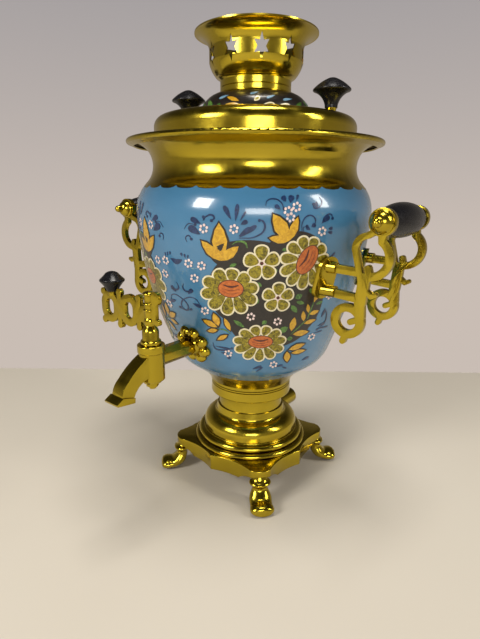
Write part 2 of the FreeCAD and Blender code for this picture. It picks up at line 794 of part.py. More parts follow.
# Tap key: the tapered plug with its cross hole, the beaded stem and the pierced lever, cast in one.
stem = lathe(
    "Key_stem",
    [
        (0, 119.6),
        (2.5, 119.6),
        (2.5, "barrel_foot - 0.3"),
        ("bore_foot - plug_clearance", "barrel_foot - 0.3"),
        ("bore_foot - plug_clearance", "barrel_foot"),
        ("bore_top - plug_clearance", "barrel_top"),
        ("bore_top - plug_clearance", "barrel_top + 0.3"),
        ("bore_top + 0.9", "barrel_top + 0.3"),
        ("bore_top + 0.9", 155.8),
        (6.0, 157.0, 1.6),
        (6.0, 163.2),
        (4.6, 166.0, 6.0),
        (3.7, 167.4),
        (4.3, 170.0, 6.0),
        (3.5, 173.0, 6.0),
        (3.5, 177.6),
        (4.3, 178.5, 1.0),
        (3.5, 179.4, 1.0),
        (3.5, 182.1),
        (4.3, 183.0, 1.0),
        (3.5, 183.9, 1.0),
        (3.5, 188.9),
        (4.5, 190.0, 1.2),
        (3.0, 191.6, 1.8),
        (0.4, 192.2, 7.8),
        (0, 192.2),
    ],
    Placement(place((0, TAP_Y, 0)), Rotation()),
)
OUTER_LOOP = (-43.0, 174.3)
INNER_LOOP = (-21.0, 174.8)
NUBS = ((-32.0, 186.6), (-32.0, 162.3), (-10.2, 185.4), (-10.2, 164.4), (-50.4, 185.2), (-50.4, 163.4))
plates = {
    "Loop_outer": [oval(*OUTER_LOOP, 10.0, 12.0)],
    "Loop_inner": [oval(*INNER_LOOP, 10.4, 12.0)],
    "Link": [[(-14.0, 169.4), (2.0, 168.0), (2.0, 181.0), (-14.0, 180.2)]],
    "Tail": [[(1.0, 169.0), (7.8, 169.4), (7.8, 186.0), (1.0, 186.0)]],
    "Tail_top": [(6.6, 187.4, 5.0)],
    "Tail_foot": [(8.6, 170.6, 2.3)],
}
for i, nub in enumerate(NUBS):
    plates[f"Nub_{i}"] = [nub + (2.8,)]
lever = [slab("Lever_" + name, loops, TAP_Y, "lever_thick") for name, loops in plates.items()]
for low, high in ((NUBS[1], NUBS[0]), (NUBS[3], NUBS[2])):
    run = [(low[0], low[1] + 2), (high[0], high[1] - 2)]
    lever.append(strand(f"Lever_bridge_{len(lever)}", run, 4.6, TAP_Y, "lever_thick"))
KNOB_X = -40.6
knob_pin = rod("Lever_knob_pin", 1.6, (KNOB_X, TAP_Y, 182), (KNOB_X, TAP_Y, 196))
knob_seat = rod("Lever_knob_seat", 3.2, (KNOB_X, TAP_Y, 183), (KNOB_X, TAP_Y, 186.5))
key_holes = [
    slab("Lever_hole_outer", [oval(*OUTER_LOOP, 4.4, 6.3)], TAP_Y, 12.0),
    slab("Lever_hole_inner", [oval(*INNER_LOOP, 4.4, 6.3)], TAP_Y, 12.0),
    rod("Plug_way", "water_bore", (-12, TAP_Y, "waterway"), (12, TAP_Y, "waterway")),
]
key_blank = fused("Key_blank", [stem, knob_pin, knob_seat] + lever)
keep(cut("Key", key_blank, fused("Key_holes", key_holes)), "tap_key")
keep(ring("Plug_washer", 6.6, 2.5, (0, TAP_Y, 124.6), (0, TAP_Y, "barrel_foot - 0.3")), "plug_washer")
keep(nut("Plug_nut", 8.0, 2.5, (0, TAP_Y, 121.4), (0, TAP_Y, 124.6)), "plug_nut")
turned(
    "lever_knob",
    [
        (1.62, 0),
        (4.2, 0),
        (4.4, 0.8),
        (8.9, 7.2, -30.0),
        (9.25, 8.1, 1.0),
        (8.9, 9.0, 1.0),
        (4.6, 13.4, -30.0),
        (0.4, 14.9, 7.8),
        (0, 14.9),
        (0, 9.8),
        (1.62, 9.8),
    ],
    Placement(place((KNOB_X, TAP_Y, 186.5)), Rotation()),
)

# Handles: a turned grip on a rod between two scrolled brackets, closed by two caps.
GRIP = [
    ("rod_radius + 0.05", -29.3),
    ("grip_end - 0.6", -29.3),
    ("grip_end", -28.4),
    ("grip_end + 0.6", -26.5),
    ("grip_radius", 0, 84.0),
    ("grip_end + 0.6", 26.5, 84.0),
    ("grip_end", 28.4),
    ("grip_end - 0.6", 29.3),
    ("rod_radius + 0.05", 29.3),
]
CAP = [
    ("rod_radius", 0),
    (9.6, 0),
    (9.6, 1.2),
    (8.7, 1.9),
    (3.1, 6.7, 7.6),
    (3.8, 8.9, 3.8),
    (0.4, 12.7, 3.8),
    (0, 12.7),
    (0, 8.5),
    ("rod_radius", 8.5),
]
reach, height = size("handle_reach"), size("handle_height")
cap_from = size("plate_offset + plate_thick / 2")
BACKWARD = Rotation(Vector(1, 0, 0), -90)
FORWARD = Rotation(Vector(1, 0, 0), 90)
for side, hand in ((1, "right"), (-1, "left")):
    x = side * reach
    turned(f"{hand}_grip", GRIP, Placement(Vector(x, 0, height), BACKWARD))
    keep(rod(f"Rod_{hand}", "rod_radius", (x, -42, height), (x, 42, height)), f"{hand}_rod")
    turned(f"{hand}_back_cap", CAP, Placement(Vector(x, cap_from, height), BACKWARD))
    turned(f"{hand}_front_cap", CAP, Placement(Vector(x, -cap_from, height), FORWARD))

# Bracket: cast scrolls in one flat plate, with a leaf-shaped pad bent to the vessel's wall.
STRANDS = {
    "Scroll_outer": (5.6, [(128.5, 236), (129.3, 228.4), (122.9, 204.8, -13.0), (117.5, 201.5)]),
    "Scroll_spur": (4.5, [(122, 205.5), (120.6, 210.3)]),
    "Scroll_main": (4.4, [(121.5, 233.5), (118.5, 231.8), (110.6, 222.5, 9.0), (116.6, 201)]),
    "Trunk": (8.0, [(118.5, 203), (118, 196), (116.8, 186)]),
    "Trunk_foot": (6.6, [(116.8, 187), (117.6, 176)]),
    "Curl_tip": (4.4, [(117, 174), (111, 171.5)]),
    "Tail": (4.4, [(107.5, 161), (106, 156.5)]),
    "Barb": (3.4, [(119, 196), (124.5, 191.5), (127, 192.8)]),
    "Upper_lug": (6.0, [(114, 207), (90, 208)]),
    "Lower_lug": (6.0, [(112, 189), (88, 191)]),
}
BACK = "plate_offset"
scrolls = [
    slab("Eye", [(128.0, 241.0, "eye_radius")], BACK, "plate_thick"),
    slab("Curl", [(108.5, 171.8, 12.7), (108.5, 171.8, 6.7)], BACK, "plate_thick"),
]
scrolls += [strand(name, line, width, BACK, "plate_thick") for name, (width, line) in STRANDS.items()]
bracket_holes = [wall_face, rod("Eye_hole", "rod_radius + 0.02", (128, 20, 241), (128, 45, 241))]
for i, stud_at in enumerate(STUD_HEIGHTS):
    scrolls.append(rod(f"Lug_boss_{i}", 4.2, (80, BACK, stud_at), (97.5, BACK, stud_at)))
    bracket_holes.append(rod(f"Bracket_stud_hole_{i}", 2.0, (78, BACK, stud_at), (95.5, BACK, stud_at)))
leaf_turn = Rotation(Vector(0, 1, 0), Vector(0, 0, 1), Vector(1, 0, 0))
leaf_sketch = free_sketch("Leaf_outline", Placement(Vector(78, 0, 0), leaf_turn))
draw(leaf_sketch, oval(31.5, 200.0, 8.0, 15.5))
leaf = drawn_out("Leaf", leaf_sketch, 20.0, (1, 0, 0), False)
scrolls.append(common("Pad", leaf, pad_face))
bracket = cut("Bracket", fused("Bracket_blank", scrolls), fused("Bracket_holes", bracket_holes))
keep(bracket, "right_back_bracket")
right_front = mirrored("right_front_bracket", bracket, Vector(0, 1, 0))
mirrored("left_back_bracket", bracket, Vector(1, 0, 0))
mirrored("left_front_bracket", right_front, Vector(1, 0, 0))

# Studs hold the brackets from inside, each with a washer shaped to the wall and a nut.
studs, washers, stud_nuts = [], [], []
for side in (-1, 1):
    for hand in (-1, 1):
        for stud_at in STUD_HEIGHTS:
            n = len(studs)
            y = hand * size("plate_offset")
            studs.append(rod(f"Stud_{n}", 2.0, (side * 75, y, stud_at), (side * 95.4, y, stud_at)))
            disc = rod(f"Saddle_disc_{n}", 6.0, (side * 79.4, y, stud_at), (side * 100, y, stud_at))
            saddle = common(f"Saddle_blank_{n}", disc, cavity_face)
            bore = rod(f"Saddle_bore_{n}", 2.0, (side * 70, y, stud_at), (side * 100, y, stud_at))
            washers.append(cut(f"Saddle_{n}", saddle, bore))
            seat = (side * 79.4, y, stud_at)
            stud_nuts.append(nut(f"Stud_nut_{n}", 7.0, 2.0, (side * 76.2, y, stud_at), seat))
group("bracket_studs", studs)
group("bracket_washers", washers)
group("bracket_nuts", stud_nuts)

# Lid: a spun plate with a bead that sits in the flare, a raised dome and a pierced crown.
lid_blank = spun(
    "Lid_blank",
    [
        (3.3, "lid_top"),
        ("lid_radius - 8.5", "lid_top"),
        ("lid_radius", "lid_top - 8.5", -8.5),
        ("lid_radius", 293.4),
        (85.9, 291.2),
        (85.9, 290.0),
        (81.6, 287.8),
        (81.6, 279.0),
    ],
    "-sheet_wall",
)


def on_knob_line(side, height):
    """A point under a lid knob; the knobs' line is turned from the X axis."""
    angle = math.radians(size("lid_turn"))
    along = side * size("lid_knob_reach")
    return (along * math.cos(angle), along * math.sin(angle), height)


stem_holes = [rod(f"Stem_hole_{n}", 3.1, on_knob_line(n, 310), on_knob_line(n, 320)) for n in (-1, 1)]
keep(cut("Lid", lid_blank, fused("Stem_holes", stem_holes)), "lid_plate")
dome_line = [
    (3.3, "crown_foot"),
    (28.6, "crown_foot"),
    (43.4, 321.5, -21.0),
    ("lid_dome_radius", "lid_top + 3"),
    ("lid_dome_radius", "lid_top"),
]
keep(spun("Lid_dome", dome_line, "-sheet_wall"), "lid_dome")
crown = turned(
    "crown",
    [
        (3.3, "crown_foot"),
        ("crown_neck", "crown_foot"),
        ("crown_neck", 336.9),
        ("crown_neck - 0.4", 337.3),
        ("crown_neck", 337.7),
        ("crown_neck", 342.0),
        ("crown_neck + 3.2", 345.0, -4.4),
        ("crown_bowl", 355.0, 22.0),
        ("crown_bowl", 365.0),
        ("crown_radius - 1", "crown_height - 1", -12.7),
        ("crown_radius", "crown_height - 1"),
        ("crown_radius", "crown_height"),
        ("crown_radius - 1.2", "crown_height"),
        ("crown_bowl - 1", 365.2, 13.7),
        ("crown_bowl - 1", 355.0),
        ("crown_neck + 2.4", 345.8, -21.0),
        ("crown_neck - 1", 342.4, 5.4),
        ("crown_neck - 1", "crown_foot + 1"),
        (3.3, "crown_foot + 1"),
    ],
)
star_sketch = body_sketch(crown, "Star")
star = []
for i in range(12):
    angle = math.radians(90 + 30 * i)
    share = 0.25 if i % 2 else 0.5
    across = share * math.cos(angle) / math.cos(math.radians(30))
    up = share * math.sin(angle)
    star.append((f"star_width * {across:.5f}", f"359.3 + star_height * {up:.5f}"))
draw(star_sketch, star)
star_cut = pocket_through(crown, "Star_cut", star_sketch)
stars = crown.newObject("PartDesign::PolarPattern", "Stars")
stars.Originals = [star_cut]
stars.Axis = (star_sketch, ["V_Axis"])
stars.Angle = 360
stars.Occurrences = int(size("star_count"))
stars.setExpression("Occurrences", bound("star_count"))
crown.Tip = stars
crown.Placement = Placement(Vector(0, 0, 0), Rotation(Vector(0, 0, 1), 42.9))
bolt_shank = rod("Crown_bolt_shank", 3.0, (0, 0, 305.0), (0, 0, 336.0))
bolt_head = prism("Crown_bolt_head", 6, 10.0, (0, 0, 334.5), (0, 0, 338.5))
keep(fused("Crown_bolt", [bolt_shank, bolt_head]), "crown_bolt")
keep(ring("Crown_washer", 9.0, 3.05, (0, 0, 312.6), (0, 0, "lid_top - 1")), "crown_washer")
keep(nut("Crown_nut", 10.0, 3.0, (0, 0, 308.0), (0, 0, 312.6)), "crown_nut")

# Lid knobs: black turned mushrooms on brass stems that pass through the lid.
KNOB = [
    (3.12, 0),
    (4.8, 0),
    (4.9, 2.0),
    ("lid_knob_radius - 0.9", 11.4, -13.0),
    ("lid_knob_radius", 12.2, 1.0),
    ("lid_knob_radius - 0.5", 13.4, 1.2),
    (3.2, 20.4, 34.0),
    (0.4, 21.0, 9.0),
    (0, 21.0),
    (0, 8.0),
    (3.12, 8.0),
]
STEM = [
    (0, -7.0),
    (3.0, -7.0),
    (3.0, 0.02),
    (4.3, 0.02),
    (4.3, 1.2),
    (3.5, 2.2, -1.4),
    (4.3, 4.9),
    (3.1, 4.9),
    (3.1, 7.9),
    (0, 7.9),
]
stem_nuts = []
for side, hand in ((1, "right"), (-1, "left")):
    turned(f"{hand}_lid_knob", KNOB, Placement(place(on_knob_line(side, 320.0)), Rotation()))
    turned(f"{hand}_knob_stem", STEM, Placement(place(on_knob_line(side, "lid_top")), Rotation()))
    stem_nuts.append(nut(f"Stem_nut_{hand}", 8.0, 3.0, on_knob_line(side, 310.2), on_knob_line(side, 314.0)))
group("knob_nuts", stem_nuts)

doc.recompute()
wrong = [o.Name for o in doc.Objects if "Invalid" in o.State or "Error" in o.State]
for node, obj in nodes.items():
    if obj.Shape.isNull() or not obj.Shape.isValid() or not obj.Shape.Solids:
        wrong.append(node)
if wrong:
    raise RuntimeError("not made: " + ", ".join(wrong))
os.makedirs("parts", exist_ok=True)
for node, obj in nodes.items():
    obj.Shape.exportStep(f"parts/{node}.step")
print(len(nodes), "pieces")
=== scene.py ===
"""An electric samovar, dressed: an enamelled brass vessel with painted flowers, on a brass pedestal."""
import math

import bpy
from mathutils import Matrix, Vector


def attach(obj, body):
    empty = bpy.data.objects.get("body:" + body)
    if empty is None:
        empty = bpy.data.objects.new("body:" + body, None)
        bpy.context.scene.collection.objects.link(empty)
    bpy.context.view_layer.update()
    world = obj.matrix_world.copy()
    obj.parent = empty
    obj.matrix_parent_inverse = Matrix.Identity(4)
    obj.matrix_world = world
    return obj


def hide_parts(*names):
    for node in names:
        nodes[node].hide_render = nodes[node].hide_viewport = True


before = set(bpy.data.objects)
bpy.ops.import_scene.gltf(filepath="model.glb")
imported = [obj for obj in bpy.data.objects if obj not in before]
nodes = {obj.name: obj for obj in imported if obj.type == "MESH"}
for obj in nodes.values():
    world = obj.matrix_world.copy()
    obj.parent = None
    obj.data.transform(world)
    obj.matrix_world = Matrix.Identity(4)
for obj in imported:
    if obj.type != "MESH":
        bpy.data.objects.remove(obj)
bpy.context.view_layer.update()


# The view. A camera at table height, turned 53 degrees from the right handle towards the tap, as
# photographed. It looks slightly down on the pedestal and up under the rim, the lid and the crown.
MM = 0.001
EYE = Vector((247.2, -329.6, 261.51)) * MM
EYE_RIGHT = Vector((0.782473, 0.622612, 0.009468))
EYE_UP = Vector((-0.175402, 0.205798, 0.962747))
EYE_BACK = EYE_RIGHT.cross(EYE_UP)
LONG_SIDE = 36.0
FOCAL_LENGTH = 26.4732


def nothing_chosen():
    """Leaves object mode with nothing selected, so that the next operator acts on its own piece only."""
    if bpy.context.object and bpy.context.object.mode != "OBJECT":
        bpy.ops.object.mode_set(mode="OBJECT")
    bpy.ops.object.select_all(action="DESELECT")


nothing_chosen()
stance = Matrix((EYE_RIGHT, EYE_UP, EYE_BACK)).transposed()
bpy.ops.object.camera_add(location=EYE, rotation=stance.to_euler())
camera = bpy.context.object
camera.name = "camera"
camera.data.sensor_fit = "VERTICAL"
camera.data.sensor_height = LONG_SIDE
camera.data.lens = FOCAL_LENGTH
camera.data.clip_start = 10 * MM
bpy.context.scene.camera = camera


# The floor, in plain warm paper, ends a hand's width behind the piece. A pale backdrop stands beyond it, and
# the polished brass mirrors a plain room, dark overhead, with softboxes for windows.
def linear(code):
    """An sRGB colour such as C9A63A as the linear values that a shader wants."""
    parts = [int(code[i:i + 2], 16) / 255 for i in (0, 2, 4)]
    return [c / 12.92 if c <= 0.04045 else ((c + 0.055) / 1.055) ** 2.4 for c in parts] + [1.0]


def add_node(tree, kind, values=(), links=(), **settings):
    """Adds one node with its settings, puts values on its sockets and links other nodes' outputs to them."""
    made = tree.nodes.new(kind)
    for name, value in settings.items():
        setattr(made, name, value)
    for socket, value in dict(values).items():
        made.inputs[socket].default_value = value
    for socket, source in dict(links).items():
        tree.links.new(source, made.inputs[socket])
    return made


def new_material(name):
    """An empty material and its tree, with only an output in it."""
    material = bpy.data.materials.new(name)
    material.use_nodes = True
    tree = material.node_tree
    tree.nodes.clear()
    return material, tree


def paper(name, colour, mottle):
    """Matt painted paper: one colour with a faint slow mottle, so that it isn't a dead flat tone."""
    material, tree = new_material(name)
    place = add_node(tree, "ShaderNodeTexCoord").outputs["Object"]
    cloud = add_node(tree, "ShaderNodeTexNoise", {"Scale": 5.0, "Detail": 3.0}, {"Vector": place})
    tone = add_node(tree, "ShaderNodeMix", {6: linear(colour), 7: linear(mottle)}, {0: cloud.outputs[0]},
                    data_type="RGBA")
    coat = add_node(tree, "ShaderNodeBsdfPrincipled", {"Roughness": 0.85, "Specular IOR Level": 0.2},
                    {"Base Color": tone.outputs[2]})
    add_node(tree, "ShaderNodeOutputMaterial", links={"Surface": coat.outputs[0]})
    return material


FLOOR_SIDE = 4.0
FLOOR_BEHIND = 0.24
FLOOR_GAP = 0.05 * MM
look = Vector((-EYE_BACK.x, -EYE_BACK.y, 0)).normalized()
look_turn = math.atan2(look.y, look.x) - math.pi / 2

bpy.ops.mesh.primitive_plane_add(size=FLOOR_SIDE, rotation=(0, 0, look_turn),
                                 location=look * (FLOOR_BEHIND - FLOOR_SIDE / 2) - Vector((0, 0, FLOOR_GAP)))
floor = bpy.context.object
floor.name = "paper_floor"
bpy.ops.object.transform_apply(location=True, rotation=True, scale=True)
floor.data.materials.append(paper("paper_warm_white", "CFC8BC", "C8C0B3"))

ROOM_LOW, ROOM_HIGH = "A69C90", "3A3630"
BACKDROP_LOW, BACKDROP_HIGH = "C9BDB4", "A39E9F"
world = bpy.data.worlds.new("plain_room")
bpy.context.scene.world = world
world.use_nodes = True
world.node_tree.nodes.clear()
way = add_node(world.node_tree, "ShaderNodeTexCoord").outputs["Generated"]
height = add_node(world.node_tree, "ShaderNodeSeparateXYZ", links={0: way}).outputs["Z"]
rise = add_node(world.node_tree, "ShaderNodeMapRange", {1: -0.05, 2: 0.55}, {0: height})
room = add_node(world.node_tree, "ShaderNodeMix", {6: linear(ROOM_LOW), 7: linear(ROOM_HIGH)},
                {0: rise.outputs[0]}, data_type="RGBA")
fade = add_node(world.node_tree, "ShaderNodeMapRange", {1: -0.1, 2: 0.35}, {0: height})
backdrop = add_node(world.node_tree, "ShaderNodeMix", {6: linear(BACKDROP_LOW), 7: linear(BACKDROP_HIGH)},
                    {0: fade.outputs[0]}, data_type="RGBA")
seen = add_node(world.node_tree, "ShaderNodeLightPath").outputs["Is Camera Ray"]
shown = add_node(world.node_tree, "ShaderNodeMix",
                 links={0: seen, 6: room.outputs[2], 7: backdrop.outputs[2]}, data_type="RGBA")
sky = add_node(world.node_tree, "ShaderNodeBackground", {"Strength": 1.0}, {"Color": shown.outputs[2]})
add_node(world.node_tree, "ShaderNodeOutputWorld", links={"Surface": sky.outputs[0]})

LAMP_COLOUR = "FFFBF4"
LAMPS_AIM = Vector((0, 0, 0.2))
SOFTBOXES = {
    # name: place in metres to the camera's right, up and towards the camera, then width, height and watts
    "window_left": ((-1.15, 0.75, 0.95), 0.45, 0.6, 17),
    "window_right": ((1.25, 0.75, 0.55), 0.25, 0.7, 8),
    "ceiling_lamp": ((0.1, 1.7, 0.15), 0.7, 0.5, 20),
    "room_front": ((0.1, 0.35, 1.6), 0.7, 0.35, 8),
}
for name, (place, width, height, watts) in SOFTBOXES.items():
    nothing_chosen()
    spot = LAMPS_AIM + EYE_RIGHT * place[0] + Vector((0, 0, place[1])) - look * place[2]
    turn = (LAMPS_AIM - spot).to_track_quat("-Z", "Y").to_euler()
    bpy.ops.object.light_add(type="AREA", location=spot, rotation=turn)
    lamp = bpy.context.object
    lamp.name = name
    lamp.data.shape = "RECTANGLE"
    lamp.data.size, lamp.data.size_y = width, height
    lamp.data.energy = watts
    lamp.data.color = linear(LAMP_COLOUR)[:3]
bpy.context.scene.view_settings.view_transform = "Standard"


# The vessel. Sheet brass about 1 mm thick, spun into a pear on a lathe, with a deep neck and a flared rolled
# rim. It is polished to a mirror and lacquered.
MIN_ARC_RADIUS = 4
ARC_STEP = 3.2


def arc(start, end, radius):
    """Points on the arc from start to end, in mm; a positive radius turns left, as in a lathe drawing."""
    (x0, z0), (x1, z1) = start, end
    chord = math.hypot(x1 - x0, z1 - z0)
    rise = math.sqrt(max(radius * radius - chord * chord / 4, 0))
    side = 1 if radius > 0 else -1
    cx = (x0 + x1) / 2 - (z1 - z0) / chord * rise * side
    cz = (z0 + z1) / 2 + (x1 - x0) / chord * rise * side
    a0, a1 = math.atan2(z0 - cz, x0 - cx), math.atan2(z1 - cz, x1 - cx)
    sweep = (a1 - a0) % (2 * math.pi) if side > 0 else -((a0 - a1) % (2 * math.pi))
    steps = max(2, int(abs(sweep) * max(abs(radius), MIN_ARC_RADIUS) / ARC_STEP))
    return [(cx + abs(radius) * math.cos(a0 + sweep * i / steps),
             cz + abs(radius) * math.sin(a0 + sweep * i / steps)) for i in range(1, steps + 1)]


def outline(*corners):
    """A lathe outline in mm; a corner with a third number is reached on an arc of that radius."""
    line = [corners[0][:2]]
    for corner in corners[1:]:
        line += arc(line[-1], corner[:2], corner[2]) if len(corner) == 3 else [corner[:2]]
    return line


def turned(name, line, sides):
    """A sheet turned about the upright axis: its outline is drawn up ring by ring."""
    nothing_chosen()
    radius, height = line[0]
    bpy.ops.mesh.primitive_circle_add(vertices=sides, radius=radius * MM, location=(0, 0, height * MM))
    piece = bpy.context.object
    piece.name = piece.data.name = name
    bpy.ops.object.transform_apply(location=True, rotation=False, scale=False)
    bpy.ops.object.mode_set(mode="EDIT")
    for next_radius, next_height in line[1:]:
        bpy.ops.mesh.extrude_edges_move(TRANSFORM_OT_translate={"value": (0, 0, (next_height - height) * MM)})
        bpy.ops.transform.resize(value=(next_radius / radius, next_radius / radius, 1),
                                 center_override=(0, 0, next_height * MM))
        radius, height = next_radius, next_height
    bpy.ops.mesh.select_all(action="SELECT")
    bpy.ops.mesh.normals_make_consistent(inside=False)
    bpy.ops.object.mode_set(mode="OBJECT")
    return piece


def finish(piece, body, slot, *materials):
    """Gives a piece its materials and its body; the slot argument is not used."""
    piece.data.materials.clear()
    for material in materials:
        piece.data.materials.append(material)
    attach(piece, body)


def apply_modifier(piece, kind, **settings):
    """Adds a modifier to the piece, sets it up and applies it at once."""
    nothing_chosen()
    bpy.context.view_layer.objects.active = piece
    piece.select_set(True)
    bpy.ops.object.modifier_add(type=kind)
    modifier = piece.modifiers[-1]
    for name, value in settings.items():
        setattr(modifier, name, value)
    bpy.ops.object.modifier_apply(modifier=modifier.name)


def brass(name, marks):
    """Yellow brass, buffed bright and lacquered: a deep golden olive in a grey room. Turned brass keeps fine
    rings from the lathe, cast brass a soft unevenness, and both a painted shade that darkens their hollows."""
    material, tree = new_material(name)
    place = add_node(tree, "ShaderNodeTexCoord").outputs["Object"]
    clouds = add_node(tree, "ShaderNodeTexNoise", {"Scale": 1 / (45 * MM), "Detail": 4.0}, {"Vector": place})
    tone = add_node(tree, "ShaderNodeMix", {6: linear("CDB83C"), 7: linear("A48E28")},
                    {0: clouds.outputs[0]}, data_type="RGBA")
    # Painted shade: an ambient occlusion mask darkens the brass towards 4A3A14 in hollows and crevices.
    corner = add_node(tree, "ShaderNodeAmbientOcclusion", {"Distance": 3.5 * MM}, samples=4)
    hollow_shade_mask = add_node(tree, "ShaderNodeMapRange", {1: 0.25, 2: 0.8, 3: 1.0, 4: 0.0}, {0: corner.outputs["AO"]})
    film = add_node(tree, "ShaderNodeMix", {7: linear("4A3A14")}, {0: hollow_shade_mask.outputs[0], 6: tone.outputs[2]},
                    data_type="RGBA")
    smear = add_node(tree, "ShaderNodeTexNoise", {"Scale": 1 / (9 * MM), "Detail": 5.0}, {"Vector": place})
    gloss = add_node(tree, "ShaderNodeMapRange", {1: 0.3, 2: 0.7, 3: 0.13, 4: 0.24}, {0: smear.outputs[0]})
    if marks == "rings":
        grain = add_node(tree, "ShaderNodeMapping", {"Scale": (0.0, 0.0, 1 / (1.3 * MM))}, {"Vector": place})
        relief = add_node(tree, "ShaderNodeTexNoise", {"Scale": 1.0, "Detail": 2.0},
                          {"Vector": grain.outputs[0]})
        height = 0.012
    else:
        relief = add_node(tree, "ShaderNodeTexNoise", {"Scale": 1 / (5 * MM), "Detail": 3.0},
                          {"Vector": place})
        height = 0.10
    bump = add_node(tree, "ShaderNodeBump", {"Strength": 0.5, "Distance": height * MM},
                    {"Height": relief.outputs[0]})
    metal = add_node(tree, "ShaderNodeBsdfPrincipled", {"Metallic": 1.0},
                     {"Base Color": film.outputs[2], "Roughness": gloss.outputs[0],
                      "Normal": bump.outputs[0]})
    add_node(tree, "ShaderNodeOutputMaterial", links={"Surface": metal.outputs[0]})
    return material


spun_brass = brass("brass_spun_polished", "rings")
cast_brass = brass("brass_cast_polished", "cast")
for node in ("body_shell", "vessel_floor"):
    nodes[node].data.materials.clear()
    nodes[node].data.materials.append(spun_brass)


# The enamel on the vessel. Stove enamel, smoky blue, sprayed over the brass up to the shoulder, where a masked
# edge of small scallops leaves the neck and the rim bare.
VESSEL_SIDES = 256
SCALLOPS = 32
SCALLOP_DEPTH = 1.9
ENAMEL_TOP = 262.6
ENAMEL_THICK = 0.14
SCALLOP_ROOM = 3.5
VESSEL_LINE = outline((49.2, 107.0), (50, 107.7), (59.9, 114.8), (69.3, 127, 26.4), (81.6, 160),
                      (97.3, 242, 264), (89, 264.4, 32.5))


def radius_at(line, height):
    """The radius of a lathe outline at a height, in mm."""
    for (r0, z0), (r1, z1) in zip(line, line[1:]):
        if z0 <= height <= z1:
            return r0 + (r1 - r0) * (height - z0) / (z1 - z0)
    return line[-1][0]


coat_line = [point for point in VESSEL_LINE if point[1] < ENAMEL_TOP - SCALLOP_ROOM]
coat_line.append((radius_at(VESSEL_LINE, ENAMEL_TOP), ENAMEL_TOP))
enamel_coat = turned("enamel_coat", coat_line, VESSEL_SIDES)
step = VESSEL_SIDES // SCALLOPS
bpy.ops.object.mode_set(mode="EDIT")
bpy.ops.mesh.select_mode(type="VERT")
bpy.ops.object.mode_set(mode="OBJECT")
for phase in range(1, step):
    drop = SCALLOP_DEPTH * math.sqrt(1 - (2 * phase / step - 1) ** 2)
    bpy.ops.object.mode_set(mode="EDIT")
    bpy.ops.mesh.select_all(action="DESELECT")
    bpy.ops.object.mode_set(mode="OBJECT")
    for vertex in enamel_coat.data.vertices:
        turn = round(math.atan2(vertex.co.y, vertex.co.x) / (2 * math.pi) * VESSEL_SIDES)
        vertex.select = vertex.co.z > (ENAMEL_TOP - 0.01) * MM and turn % step == phase
    bpy.ops.object.mode_set(mode="EDIT")
    bpy.ops.transform.translate(value=(0, 0, -drop * MM))
    narrower = radius_at(VESSEL_LINE, ENAMEL_TOP - drop) / radius_at(VESSEL_LINE, ENAMEL_TOP)
    bpy.ops.transform.resize(value=(narrower, narrower, 1), center_override=(0, 0, 0))
    bpy.ops.object.mode_set(mode="OBJECT")
apply_modifier(enamel_coat, "SOLIDIFY", thickness=ENAMEL_THICK * MM, offset=1.0)
bpy.ops.object.shade_smooth_by_angle(angle=math.radians(40))


def enamel(name, colour, shade):
    """Stove enamel under clear lacquer: an even colour a little cloudy from the spray, with a wet-looking gloss
    and a very slight orange peel."""
    material, tree = new_material(name)
    place = add_node(tree, "ShaderNodeTexCoord").outputs["Object"]
    spray = add_node(tree, "ShaderNodeTexNoise", {"Scale": 1 / (60 * MM), "Detail": 5.0, "Roughness": 0.6},
                     {"Vector": place})
    tone = add_node(tree, "ShaderNodeMix", {6: linear(colour), 7: linear(shade)}, {0: spray.outputs[0]},
                    data_type="RGBA")
    peel = add_node(tree, "ShaderNodeTexNoise", {"Scale": 1 / (2.5 * MM), "Detail": 1.0}, {"Vector": place})
    bump = add_node(tree, "ShaderNodeBump", {"Strength": 0.25, "Distance": 0.03 * MM},
                    {"Height": peel.outputs[0]})
    coat = add_node(tree, "ShaderNodeBsdfPrincipled",
                    {"Roughness": 0.22, "Coat Weight": 0.7, "Coat Roughness": 0.05, "IOR": 1.5},
                    {"Base Color": tone.outputs[2], "Normal": bump.outputs[0]})
    add_node(tree, "ShaderNodeOutputMaterial", links={"Surface": coat.outputs[0]})
    return material


finish(enamel_coat, "body", "blue_enamel", enamel("enamel_smoky_blue", "4C84AC", "3C6E94"))


# The bouquets. Oil paint laid on the enamel with a round brush, stroke over stroke: a black ground, cream
# petals with bronze powder in them, orange centres, ochre and green leaves, and dark blue scrolls. Each stroke
# stands up a little. A stroke is drawn flat on an upright sheet in front of the vessel, then pressed onto it.
SHEET_FRONT = 130.0
STROKE_THICK = 0.22


def brush_shape(name, taper, sides=24):
    """One touch of the brush, drawn flat and facing the viewer: 1 long, 1 wide, and tapered."""
    nothing_chosen()
    bpy.ops.mesh.primitive_circle_add(vertices=sides, radius=0.5, fill_type="TRIFAN",
                                      rotation=(math.pi / 2, 0, 0))
    shape = bpy.context.object
    shape.name = name
    bpy.ops.object.transform_apply(rotation=True, location=False, scale=False)
    bpy.ops.object.mode_set(mode="EDIT")
    bpy.ops.mesh.subdivide(number_cuts=1)
    bpy.ops.object.mode_set(mode="OBJECT")
    if taper:
        apply_modifier(shape, "SIMPLE_DEFORM", deform_method="TAPER", deform_axis="Z", factor=taper)
    return shape


round_touch = brush_shape("round_touch", 0)
petal_touch = brush_shape("petal_touch", 0.7)
comma_touch = brush_shape("comma_touch", 1.2)


